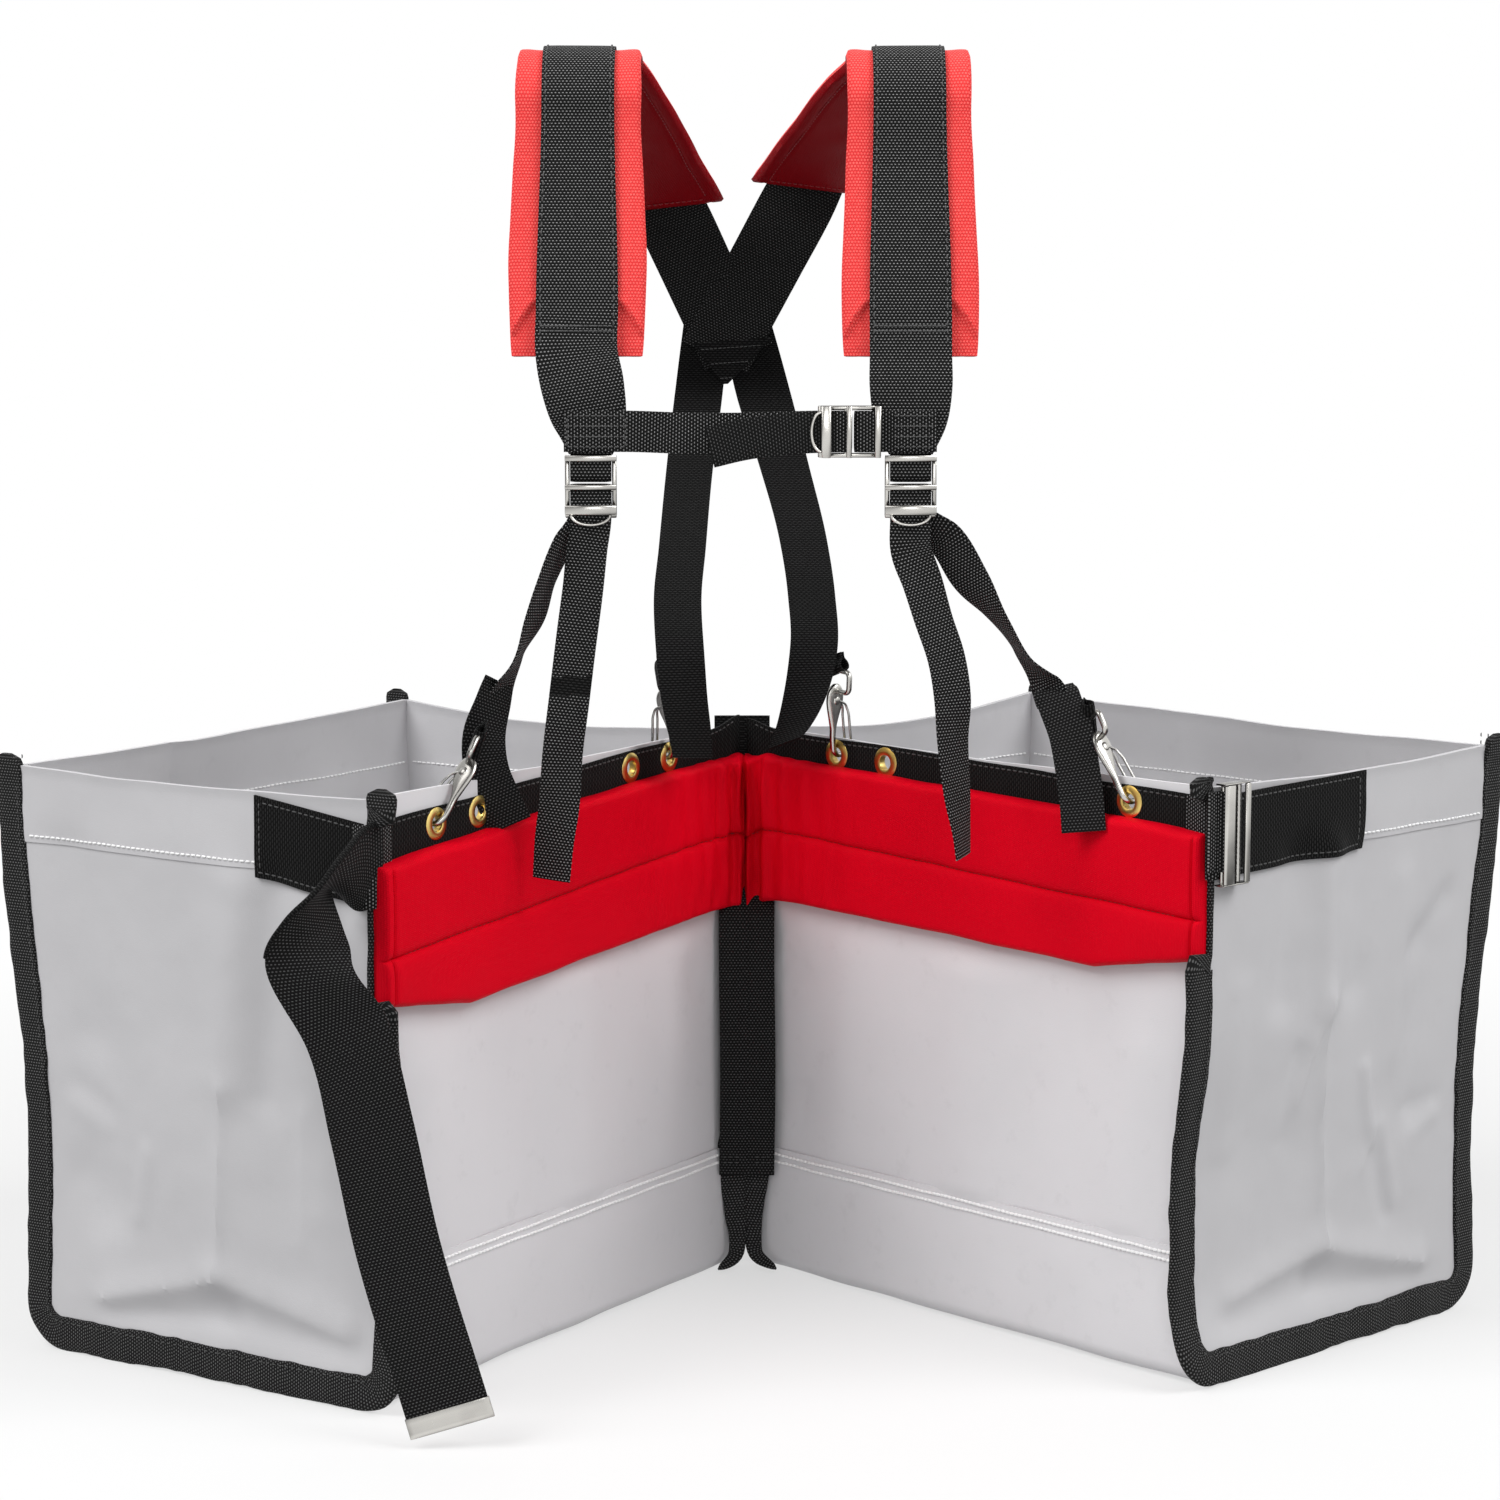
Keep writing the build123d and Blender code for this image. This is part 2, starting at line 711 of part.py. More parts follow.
def make_front_strap(side, tail_lean):
    # From the hook's guard up behind the adjuster, over its middle bar and down in front as a free tail
    top_bar = Vector(adjuster_places[side], shoulder_front, adjuster_height)
    bar = top_bar - Vector(0, 0, adjuster_middle)
    behind = Vector(0, turn_radius, 0)
    panel_way = bag_direction(side)
    up = Vector(0, 0, 1)
    along, high = hook_spot(side, "front", eye_bar_height + loop_lengths[side]["front"])
    sewn_low = bag_point(side, along, strap_end_deep, high - strap_width / 2)
    sewn_top = bag_point(side, along, strap_end_deep, high)
    below = bar + behind - up * adjuster_length
    half_way = (sewn_top + below) * 0.5
    twist = (panel_way + right_axis).normalized()
    climb = (below - sewn_top).normalized()
    level = (twist - climb * twist.dot(climb)).normalized()
    tail_top = bar - behind - up * adjuster_length
    tail_end = tail_top + Vector(tail_lean, 0, adjuster_length - front_tail_length)
    fall = (tail_end - tail_top).normalized()
    tail_across = (right_axis - fall * right_axis.dot(fall)).normalized()
    stations = [
        (sewn_low, panel_way, up, strap_width),
        (sewn_top, panel_way, up, strap_width),
        (half_way, level, climb, strap_width),
        (below, right_axis, up, strap_width),
    ]
    stations += bar_turn(bar, right_axis, Vector(0, 0, -1))
    stations.append((tail_top, right_axis, Vector(0, 0, -1), strap_width))
    stations.append((tail_end, tail_across, fall, strap_width))
    nodes[side + "_front_strap"] = ribbon(stations, webbing)


# The chest strap lies on the front of the shoulder webbings
chest_front = shoulder_front - webbing / 2 - gap
sternum_bar = Vector(sternum_bar_x, chest_front - anchor_inner_radius - webbing, sternum_height)


def make_adjusters():
    # A front adjuster's loop is sewn behind the shoulder webbing and stops under the chest strap in front
    under_chest = sternum_height - strap_width / 2 - gap - adjuster_height
    anchors = []
    for side, low_x in adjuster_places.items():
        place = Pos(low_x, shoulder_front, adjuster_height)
        nodes[side + "_adjuster_frame"] = place * adjuster_frame()
        nodes[side + "_adjuster_bow"] = place * lift_bow()
        ring = webbing_ring(anchor_inner_radius, 2 * anchor_length, strap_width)
        wide = strap_width
        rear_cut = slab((-wide, 0, anchor_length), (wide, wide, 3 * anchor_length))
        front_cut = slab((-wide, -wide, under_chest), (wide, 0, 3 * anchor_length))
        anchors.append(place * (ring - rear_cut - front_cut))
    sideways = Pos(*sternum_bar) * Rot(0, 90, 0)
    nodes["sternum_adjuster_frame"] = sideways * adjuster_frame()
    nodes["sternum_adjuster_bow"] = sideways * lift_bow()
    anchors.append(sideways * webbing_ring(anchor_inner_radius, sternum_anchor_length, strap_width))
    nodes["adjuster_anchors"] = Compound(children=anchors)


def make_sternum_strap():
    # Sewn to the left shoulder webbing, through the adjuster and back as a free tail
    upright = Vector(0, 0, 1)
    to_right = Vector(1, 0, 0)
    to_left = Vector(-1, 0, 0)
    bar = sternum_bar + to_left * adjuster_middle
    start = Vector(-left_adjuster_x - strap_width / 2, chest_front - webbing / 2, sternum_height)
    sewn_end = Vector(belt_width / 2 - left_adjuster_x, chest_front - webbing / 2, sternum_height)
    before = bar + Vector(0, turn_radius, 0) + to_left * adjuster_length
    after = bar - Vector(0, turn_radius, 0) + to_left * adjuster_length
    tail_end = Vector(sternum_tail_end_x, after.Y, sternum_height - sternum_tail_droop)
    fall = (tail_end - after).normalized()
    tail_up = (upright - fall * upright.dot(fall)).normalized()
    stations = [
        (start, upright, to_right, strap_width),
        (sewn_end, upright, to_right, strap_width),
        (before, upright, to_right, strap_width),
    ]
    stations += bar_turn(bar, upright, to_left)
    stations.append((after, upright, to_left, strap_width))
    stations.append((tail_end, tail_up, fall, strap_width))
    nodes["sternum_strap"] = ribbon(stations, webbing)


def make_back_strap(side):
    # From the crossing down to the wearer's side of the rear hook, where its end is the hook's guard
    sign = sides[side]
    turn = math.radians(angles[side])
    depth = 3 * layer / 2 if side == "left" else 5 * layer / 2
    edge = back_strap_end_x + back_strap_width / 2
    end_y = -edge * math.tan(turn) + loop_front / math.cos(turn) - 2 * gap - webbing / 2
    loop_reach = eye_bar_height + rear_loop_length + loop_inner_radius + webbing
    loop_top = hook_spot(side, "rear", loop_reach)[1]
    rear_slope = Vector(0, cross_y - shoulder_rear, cross_height - rear_height).normalized()
    rear_facing = right_axis.cross(rear_slope)
    crossing = Vector(cross_x + sign * back_strap_start_x, cross_y, cross_height)
    start = crossing - rear_facing * depth
    lower = start + rear_slope * back_strap_start_drop
    knee = Vector(sign * back_strap_end_x, end_y, loop_top + gap)
    middle = (lower + knee) * 0.5 + right_axis * (sign * back_strap_bow)
    end = Vector(sign * back_strap_end_x, end_y, rim - back_strap_end_below_rim)
    down = Vector(0, 0, -1)
    slope = (knee - lower).normalized()
    level = (right_axis - slope * right_axis.dot(slope)).normalized()
    stations = [
        (start, right_axis, rear_slope, back_strap_width),
        (lower, right_axis, (rear_slope + slope).normalized(), back_strap_width),
        (middle, level, slope, back_strap_width),
        (knee, right_axis, (slope + down).normalized(), back_strap_width),
        (end, right_axis, down, back_strap_width),
    ]
    nodes[side + "_back_strap"] = ribbon(stations, webbing)


def make_fold_straps():
    # The front strap covers the fold; the rear link spans the two inner gussets just behind it
    turns = [math.radians(left_angle), math.radians(right_angle)]
    half = fold_strap_width / 2
    front = min(-half * math.tan(turn) + lap_face / math.cos(turn) for turn in turns) - gap
    nodes["fold_strap"] = slab((-half, front - webbing, fold_strap_low), (half, front, pad_bottom - gap))
    slopes = sum(math.tan(turn) for turn in turns)
    starts = sum(fold_edge / math.cos(turn) for turn in turns)
    link_front = (fold_strap_width + 2 * gap - starts) / slopes
    link_left = gap - link_front * math.tan(turns[0]) - fold_edge / math.cos(turns[0])
    top = rim + link_strap_rise
    nodes["link_strap"] = slab(
        (link_left, link_front, top - link_strap_length),
        (link_left + fold_strap_width, link_front + webbing, top),
    )


# The belt tail hangs from the corner of the belt webbing on the left
tail_height = belt_middle - belt_drop("left", bag_width)
tail_root = bag_point("left", wrap_outside, wrap_front, tail_height) - Vector(0, gap + webbing / 2, 0)


def make_belt_tail():
    bow = tail_root + Vector(-tail_bow, -tail_bow_front, -tail_bow_drop)
    tip = Vector(tail_root.X + tail_tip_x, tail_root.Y - tail_tip_front, tail_tip_height)
    fall = (tip - bow).normalized()
    drop = (bow - tail_root).normalized()
    bend = (fall + drop).normalized()
    away = Vector(0, 1, 0)
    across = [away.cross(way).normalized() for way in (drop, bend, fall)]
    stations = [
        (tail_root, across[0], drop, belt_width),
        (bow, across[1], bend, belt_width),
        (tip, across[2], fall, belt_width),
    ]
    nodes["belt_tail"] = ribbon(stations, webbing)
    plane = Plane(origin=tip + fall * gap, x_dir=across[2], z_dir=fall)
    crimp = extrude(plane * Rectangle(belt_width + webbing, tip_thickness), tip_length)
    nodes["belt_tip"] = crimp


# The buckle stands on the right outer gusset's patch
ring_radius = buckle_bar_radius + gap
buckle_inner = bag_width + 2 * gap + webbing
buckle_bar_along = buckle_inner + ring_radius + webbing
buckle_deep = buckle_place + buckle_bar_radius + buckle_wall
buckle_half = belt_width / 2 + 2 * gap


def make_buckle():
    side = "right"
    low = belt_middle - buckle_half
    high = belt_middle + buckle_half
    outer = buckle_inner + buckle_depth
    far = buckle_place + buckle_length
    frame = Pos(buckle_bar_along, buckle_deep, belt_middle) * Cylinder(buckle_bar_radius, 2 * buckle_half)
    for end in ((low - buckle_wall, low), (high, high + buckle_wall)):
        frame += slab((buckle_inner, buckle_place, end[0]), (outer, far, end[1]))
    for start in (buckle_inner, outer - buckle_wall):
        frame += slab((start, buckle_place + buckle_mouth, low), (start + buckle_wall, far, high))
    nodes["buckle_frame"] = in_place(side, frame)
    bar_length = 2 * buckle_half - 2 * gap
    bar_along = buckle_inner + buckle_depth / 2
    bar = Cylinder(friction_bar_radius, bar_length)
    nodes["buckle_bar"] = in_place(side, Pos(bar_along, buckle_place + friction_bar_place, belt_middle) * bar)
    ring = Rot(90, 0, 0) * webbing_ring(ring_radius, buckle_ring_length, belt_width)
    upright_ring = Rot(0, 90, 0) * ring
    placed = Pos(buckle_bar_along, buckle_deep, belt_middle) * upright_ring
    nodes["buckle_strap"] = Compound(children=[in_place(side, belt_corner(side)), in_place(side, placed)])


make_bag_cloth("left")
make_bag_cloth("right")
make_bindings("left")
make_bindings("right")
for bag in sides:
    make_belt(bag)
    make_hip_pad(bag)
    make_grommets(bag)
    make_hooks(bag)
    make_shoulder(bag)
    make_back_strap(bag)
make_guard("left", left_guard_lean)
make_guard("right", right_guard_lean)
make_front_strap("left", left_tail_lean)
make_front_strap("right", right_tail_lean)
make_adjusters()
make_sternum_strap()
make_fold_straps()
make_belt_tail()
make_buckle()

boxes = [shape.bounding_box() for shape in nodes.values()]
middle_x = (min(box.min.X for box in boxes) + max(box.max.X for box in boxes)) / 2
middle_y = (min(box.min.Y for box in boxes) + max(box.max.Y for box in boxes)) / 2
to_origin = Vector(-middle_x, -middle_y, -min(box.min.Z for box in boxes))
for node_name, shape in nodes.items():
    export_step(Pos(*to_origin) * shape, "parts/" + node_name + ".step")
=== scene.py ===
import json
import math
import bmesh
import bpy
import numpy as np
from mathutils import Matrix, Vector, noise


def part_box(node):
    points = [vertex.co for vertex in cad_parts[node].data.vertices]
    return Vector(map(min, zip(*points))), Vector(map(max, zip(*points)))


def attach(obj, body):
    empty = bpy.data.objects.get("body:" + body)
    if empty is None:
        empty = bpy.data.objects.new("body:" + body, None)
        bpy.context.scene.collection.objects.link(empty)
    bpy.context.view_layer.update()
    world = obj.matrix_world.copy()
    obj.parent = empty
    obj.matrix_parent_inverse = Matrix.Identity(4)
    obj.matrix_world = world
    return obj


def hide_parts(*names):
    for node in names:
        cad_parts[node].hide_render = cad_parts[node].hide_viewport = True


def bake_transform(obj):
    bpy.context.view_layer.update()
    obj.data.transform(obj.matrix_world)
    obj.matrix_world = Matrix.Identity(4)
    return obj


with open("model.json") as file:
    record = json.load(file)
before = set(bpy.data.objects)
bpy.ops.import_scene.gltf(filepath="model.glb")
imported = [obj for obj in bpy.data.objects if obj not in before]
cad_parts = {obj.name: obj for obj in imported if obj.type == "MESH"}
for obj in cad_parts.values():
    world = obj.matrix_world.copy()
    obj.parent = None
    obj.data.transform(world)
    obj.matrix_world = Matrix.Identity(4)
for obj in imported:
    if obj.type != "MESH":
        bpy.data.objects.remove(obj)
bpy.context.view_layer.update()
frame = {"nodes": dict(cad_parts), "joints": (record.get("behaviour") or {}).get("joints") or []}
print("frame loaded:", len(frame["nodes"]), "nodes")

# Sizes are millimetres about the fold's upright axis; toRow turns them into metres of the row frame
foldJoint = next(joint for joint in frame["joints"] if joint["name"] == "left_bag_swing")
foldAxis = np.array([*foldJoint["pos_m"][:2], 0.0])
sides = {"left": -1, "right": 1}

# A bag's own space: along the front panel from the fold, away from the wearer, up
bag = {
    "turn": {"left": 57.7, "right": 46.4},
    "width": 406.0,
    "rim": 381.0,
    "along": (2.6, 405.4),
    "deep": (9.6, 289.8),
    "front": 10.45,
    "back": 288.95,
    "outer": 405.25,
    "inner": 2.75,
    "cloth": 0.75,
    "hem": 49.0,
    "hemStitch": 45.0,
    "hemLayer": 0.9,
    # the soft bags lean in at the back of their lower part, and their outer front corner bows in
    "waist": {"left": 18.0, "right": 22.0},
    "waistRise": (372, 142),
    "waistFoot": (110, 10),
    "bow": {"left": 5.0, "right": 11.0},
    "bowRise": (235, 125),
    "bowFoot": (4, 64),
}


def toRow(points):
    return np.asarray(points, float) * 0.001 + foldAxis


def flatSize(width, length):
    return (width * 0.001, length * 0.001)


def unit(vectors):
    v = np.asarray(vectors, float)
    return v / np.maximum(np.linalg.norm(v, axis=-1, keepdims=True), 1e-9)


def spots(x, y, z):
    return np.stack(np.broadcast_arrays(x, y, z), axis=-1).astype(float)


def runTo(line):
    # length of a line up to each of its points
    return np.concatenate([[0], np.cumsum(np.linalg.norm(np.diff(line, axis=0), axis=1))])


def ease(t):
    t = np.clip(t, 0, 1)
    return t * t * (3 - 2 * t)


def fade(x, start, end):
    # 0 at the start and 1 at the end
    return ease((x - start) / (end - start))


def hump(x, middle, reach):
    return np.exp(-(((x - middle) / reach) ** 2))


def drift(places):
    # smooth noise between about -1 and 1
    return 1.6 * np.array([noise.noise(Vector(place)) for place in places])


def wander(s, scale, seed):
    return drift((x / scale, seed * 7.31, 0.37) for x in np.ravel(s)).reshape(np.shape(s))


def ripple(a, b, scale, seed):
    places = zip(np.ravel(a), np.ravel(b))
    return drift((x / scale, y / scale, seed * 3.17) for x, y in places).reshape(np.shape(a))


def spin(a, b, degrees):
    turn = math.radians(degrees)
    return a * math.cos(turn) - b * math.sin(turn), a * math.sin(turn) + b * math.cos(turn)


def inBag(side):
    def place(points):
        u, v, z = np.moveaxis(np.asarray(points, float), -1, 0)
        lean = bag["waist"][side] * fade(z, *bag["waistRise"]) * (1 - 0.2 * fade(z, *bag["waistFoot"]))
        bow = bag["bow"][side] * fade(z, *bag["bowRise"]) * fade(z, *bag["bowFoot"])
        v = v - lean * np.clip((v - 30) / 262, 0, 1.06)
        u = u - bow * np.clip((u - 120) / 284, 0, 1.02) * np.clip((200 - v) / 190, 0, 1)
        x, y = spin(u, v, -bag["turn"][side])
        return np.stack([sides[side] * x, y, z], axis=-1)

    return place


# Camera and light
view = {"at": (3.8, -2621.5, 723.5), "down": 0.136, "lens": 92.51, "sensor": 36.0}
light = {
    "world": 0.38,
    "aim": (0, 0, 0.42),
    "floorHalf": 30,
    "floorGlow": 0.56,
    "floorColour": 0.30,
    "bounce": 0.30,
    "fade": (0.62, 1.5),
}
lamps = [
    # name, place in metres, size, watts
    ("keyLamp", (-2.2, -1.35, 2.95), 2.0, 104),
    ("fillLamp", (2.35, -1.0, 2.85), 2.0, 88),
    ("frontLamp", (0.0, -3.6, 1.7), 1.6, 25),
    ("topLamp", (0.2, 0.5, 3.2), 2.4, 8),
]


def operator(operation, turned=False):
    def act(self, other=0.0):
        first, second = (other, self) if turned else (self, other)
        return self.nodes.node("ShaderNodeMath", {"operation": operation}, {0: first, 1: second})

    return act


class Wire:
    # a shader socket that takes part in sums
    def __init__(self, nodes, socket):
        self.nodes = nodes
        self.socket = socket

    def also(self, name):
        return Wire(self.nodes, self.socket.node.outputs[name])

    __add__ = __radd__ = operator("ADD")
    __mul__ = __rmul__ = operator("MULTIPLY")
    __sub__ = operator("SUBTRACT")
    __rsub__ = operator("SUBTRACT", True)
    __truediv__ = operator("DIVIDE")
    __pow__ = operator("POWER")
    __mod__ = operator("FLOORED_MODULO")
    whole = operator("FLOOR")
    cosine = operator("COSINE")
    atLeast = operator("MAXIMUM")
    atMost = operator("MINIMUM")


class Nodes:
    # makes nodes in one tree
    def __init__(self, tree):
        self.tree = tree
        tree.nodes.clear()

    def node(self, kind, settings=None, sockets=None, output=0):
        made = self.tree.nodes.new(kind)
        for key, value in (settings or {}).items():
            setattr(made, key, value)
        for key, value in (sockets or {}).items():
            self.feed(made.inputs[key], value)
        return Wire(self, made.outputs[output]) if len(made.outputs) else None

    def feed(self, socket, value):
        if isinstance(value, Wire):
            self.tree.links.new(value.socket, socket)
        else:
            socket.default_value = value

    def mix(self, share, a, b):
        return self.node("ShaderNodeMix", {"data_type": "RGBA"}, {0: share, 6: a, 7: b}, output=2)

    def grain(self, scale, detail=3.0, roughness=0.5):
        sockets = {"Scale": scale, "Detail": detail, "Roughness": roughness}
        sockets["Vector"] = self.node("ShaderNodeTexCoord", output=3)
        return self.node("ShaderNodeTexNoise", None, sockets)

    def weave(self, pitch, row):
        # from the middle of a thread float, across and along the cloth, with each row moved by half a pitch
        flat = self.node("ShaderNodeUVMap", {"uv_map": "cloth"})
        split = self.node("ShaderNodeSeparateXYZ", None, {0: flat})
        rows = split.also("Y") * 1000.0 / row
        across = split * 1000.0 / pitch + (rows.whole() % 2.0) * 0.5
        return across % 1.0 - 0.5, rows % 1.0 - 0.5

    def bump(self, height, distance, strength=1.0):
        sockets = {"Height": height, "Distance": distance, "Strength": strength}
        return self.node("ShaderNodeBump", None, sockets)

    def seen(self):
        # 1 for what the camera sees, straight, in a mirror or through glass
        ray = self.node("ShaderNodeLightPath")
        rays = ray.also("Is Camera Ray") + ray.also("Is Glossy Ray") + ray.also("Is Transmission Ray")
        return rays.atMost(1.0)


def newFinish(name, constants):
    material = bpy.data.materials.new(name)
    material.use_nodes = True
    nodes = Nodes(material.node_tree)
    shader = nodes.node("ShaderNodeBsdfPrincipled", None, constants)
    nodes.node("ShaderNodeOutputMaterial", None, {0: shader})
    return material, nodes, shader.socket.node.inputs


def grey(level):
    return (level, level, level, 1.0)


bagTones = [(0.545, 0.540, 0.556), (0.625, 0.618, 0.634)]
scuffTone = (0.44, 0.435, 0.445, 1)


# one coated cloth whose colour is scaled up or down for each copy, painting light and shade into it
def makeBagCloth(name, paintedLightScale):
    material, nodes, shader = newFinish(name, {"IOR": 1.45, "Specular IOR Level": 0.30})
    patches = nodes.grain(9.0, 4.0)
    fine = nodes.grain(1500.0, 2.0)
    scuff = nodes.grain(60.0, 5.0, 0.65)
    deep, pale = ((red * paintedLightScale, green * paintedLightScale, blue * paintedLightScale, 1) for red, green, blue in bagTones)
    scuffed = (scuff - 0.58).atLeast(0.0) * 1.2
    nodes.feed(shader["Base Color"], nodes.mix(scuffed, nodes.mix(patches, deep, pale), scuffTone))
    nodes.feed(shader["Roughness"], 0.48 + 0.12 * patches + 0.08 * scuff)
    nodes.feed(shader["Normal"], nodes.bump(fine * 0.5 + scuff, 0.00035, 0.5))
    return material


def makeWebbing(name, pitch, row, reach, ground, thread, gloss):
    # staggered rows of thread floats on a black ground, the floats painted in thread colour as a painted
    # sheen; reach is a float's half size in pitches and rows
    constants = {"Specular IOR Level": gloss, "Sheen Weight": 0.02, "Sheen Roughness": 0.4}
    material, nodes, shader = newFinish(name, constants)
    across, along = nodes.weave(pitch, row)
    wide, tall = reach
    knuckle = (1.0 - across * across / (wide * wide) - along * along / (tall * tall)).atLeast(0.0)
    uneven = nodes.grain(240.0, 2.0)
    paintedSheen = (knuckle * (0.7 + 1.2 * uneven)).atMost(1.0)
    nodes.feed(shader["Base Color"], nodes.mix(paintedSheen, grey(ground), grey(thread)))
    nodes.feed(shader["Roughness"], 0.72 - 0.22 * knuckle)
    nodes.feed(shader["Normal"], nodes.bump(knuckle ** 0.5 + uneven * 0.2, 0.0005, 0.8))
    return material


def makeRedCloth(name, deep, pale, thread, pitch=1.25, share=0.55):
    # the thread knuckles are painted lighter, towards the thread colour, as a painted sheen
    material, nodes, shader = newFinish(name, {"Specular IOR Level": 0.03})
    weft, warp = nodes.weave(pitch, pitch)
    knuckle = (1.0 - weft * weft * 5.0 - warp * warp * 5.0).atLeast(0.0)
    patches = nodes.grain(14.0, 3.0)
    uneven = nodes.grain(330.0, 2.0)
    paintedSheen = (knuckle * share * (0.4 + 1.2 * uneven)).atMost(1.0)
    ground = nodes.mix(patches, (*deep, 1), (*pale, 1))
    nodes.feed(shader["Base Color"], nodes.mix(paintedSheen, ground, (*thread, 1)))
    nodes.feed(shader["Roughness"], 0.40 + 0.14 * patches)
    nodes.feed(shader["Normal"], nodes.bump(knuckle, 0.0003, 0.6))
    return material


def makeMetal(name, bright, dark, roughness):
    material, nodes, shader = newFinish(name, {"Metallic": 1.0})
    wear = nodes.grain(120.0, 5.0, 0.6)
    darkStreaks = nodes.grain(30.0, 3.0)
    # painted reflection: the colour runs light or dark with the way the surface faces, standing in for bright
    # and dark surroundings, and random dark streaks are painted in as dark reflections too
    way = nodes.node("ShaderNodeSeparateXYZ", None, {0: nodes.node("ShaderNodeTexCoord", output=1)})
    facingBand = (way * 2.9 - way.also("Z") * 4.0 - 0.4).cosine()
    paintedReflection = ((0.5 - 0.5 * facingBand) * 0.85 + (darkStreaks - 0.4).atLeast(0.0) * 0.9).atMost(1.0)
    nodes.feed(shader["Base Color"], nodes.mix(paintedReflection, (*bright, 1), (*dark, 1)))
    nodes.feed(shader["Roughness"], roughness + 0.16 * wear)
    nodes.feed(shader["Normal"], nodes.bump(wear, 0.00012, 0.35))
    return material


def makeThread(name, dark, colour):
    material, nodes, shader = newFinish(name, {"Sheen Weight": 0.1})
    twist = nodes.grain(700.0, 2.0)
    nodes.feed(shader["Base Color"], nodes.mix(twist, (*dark, 1), (*colour, 1)))
    nodes.feed(shader["Roughness"], 0.5 + 0.2 * twist)
    return material


redTones = [(0.58, 0.0004, 0.009), (0.66, 0.0007, 0.012), (0.78, 0.003, 0.017)]
# the shoulder pads' face: the hip pad's red painted lighter as light, its knuckles near white as a painted
# highlight
paintedLitRedTones = [(0.62, 0.032, 0.034), (0.70, 0.042, 0.042), (0.98, 0.150, 0.135)]
# the shoulder pads' underside: the same red painted dark as shade
paintedShadeLiningTones = [(0.20, 0.0008, 0.004), (0.26, 0.001, 0.005), (0.32, 0.002, 0.006)]
# each finish with the slot it belongs to
finishes = {
    # copies of the one bag cloth: painted lighter on the fronts and base, painted darker on the outer gussets
    # and a little darker on the back and inner panels, as light and shade
    "frontCloth": (makeBagCloth("coatedFrontClothPaintedLighter", 1.09), "bag_cloth"),
    "outerCloth": (makeBagCloth("coatedGussetClothPaintedDarker", 0.85), "bag_cloth"),
    "bagCloth": (makeBagCloth("coatedBagCloth", 0.93), "bag_cloth"),
    # webbing copies: the first paints its floats light as glints where light falls; the second is the same
    # webbing with dim floats, painted darker as shade; the ribbed webbing and the tape carry a faint painted
    # sheen
    "webbing":
        (makeWebbing("blackWebbingPaintedLitGlints", 2.3, 1.9, (0.32, 0.24), 0.004, 0.235, 0.08), "black_webbing"),
    "tailWebbing":
        (makeWebbing("blackWebbingPaintedShade", 2.3, 1.9, (0.34, 0.25), 0.0035, 0.078, 0.08), "black_webbing"),
    "ribbed":
        (makeWebbing("ribbedBlackWebbing", 3.4, 1.7, (0.49, 0.30), 0.003, 0.022, 0.05), "black_webbing"),
    "tape": (makeWebbing("blackBindingTape", 2.3, 1.9, (0.34, 0.28), 0.004, 0.12, 0.12), "binding_tape"),
    "red": (makeRedCloth("redPadCloth", *redTones), "red_padding"),
    "paintedLitRed": (makeRedCloth("redFaceClothPaintedLit", *paintedLitRedTones, 2.0, 0.9), "red_padding"),
    "lining": (makeRedCloth("redLiningPaintedShade", *paintedShadeLiningTones), "red_padding"),
    # each metal runs from a bright to a dark colour as painted reflection
    "nickel": (makeMetal("nickelPlate", (0.64, 0.625, 0.59), (0.07, 0.067, 0.063), 0.16), "nickel"),
    "brass": (makeMetal("brass", (0.90, 0.70, 0.25), (0.42, 0.27, 0.07), 0.22), "brass"),
    "steel": (makeMetal("springSteel", (0.56, 0.55, 0.53), (0.10, 0.10, 0.095), 0.2), "spring_steel"),
    "paleThread": (makeThread("paleThread", [0.8] * 3, [0.95] * 3), "bag_cloth"),
    "darkThread": (makeThread("darkThread", [0.016] * 3, [0.05] * 3), "black_webbing"),
    "redThread": (makeThread("redThread", (0.16, 0.001, 0.004), (0.34, 0.002, 0.008)), "red_padding"),
}
print("finishes:", len(finishes))


# Shells are points, faces and places on the cloth
def loftShell(rings, across=None, closed=False):
    rings = np.asarray(rings, float)
    n, k = rings.shape[:2]
    faces = []
    for i in range(n if closed else n - 1):
        a, b = i * k, ((i + 1) % n) * k
        for j in range(k):
            m = (j + 1) % k
            faces.append((a + j, a + m, b + m, b + j))
    if not closed:
        faces.append(tuple(range(k - 1, -1, -1)))
        faces.append(tuple(range((n - 1) * k, n * k)))
    if across is None:
        steps = np.linalg.norm(np.diff(rings, axis=1), axis=2)
        across = np.concatenate([np.zeros((n, 1)), np.cumsum(steps, axis=1)], axis=1)
    along = runTo(rings.mean(axis=1))[:, None]
    flat = np.stack(np.broadcast_arrays(np.broadcast_to(across, (n, k)), along), axis=-1)
    return rings.reshape(-1, 3), faces, flat.reshape(-1, 2)


def slabShell(front, back, flat, hole=None):
    # two grids a cloth's thickness apart, closed round every edge and round the holes
    n, m = front.shape[:2]
    kept = np.zeros((n + 1, m + 1), bool)
    kept[1:-1, 1:-1] = True if hole is None else ~hole
    faces = []
    other = n * m
    for i, j in np.argwhere(kept).tolist():
        a = (i - 1) * m + j - 1
        b, c, d = a + 1, a + m + 1, a + m
        faces.append((a, b, c, d))
        faces.append((d + other, c + other, b + other, a + other))
        edges = ((i - 1, j, a, b), (i, j + 1, b, c), (i + 1, j, c, d), (i, j - 1, d, a))
        faces.extend((f, e, e + other, f + other) for row, column, e, f in edges if not kept[row, column])
    points = np.concatenate([front.reshape(-1, 3), back.reshape(-1, 3)])
    return points, faces, np.concatenate([flat.reshape(-1, 2)] * 2)


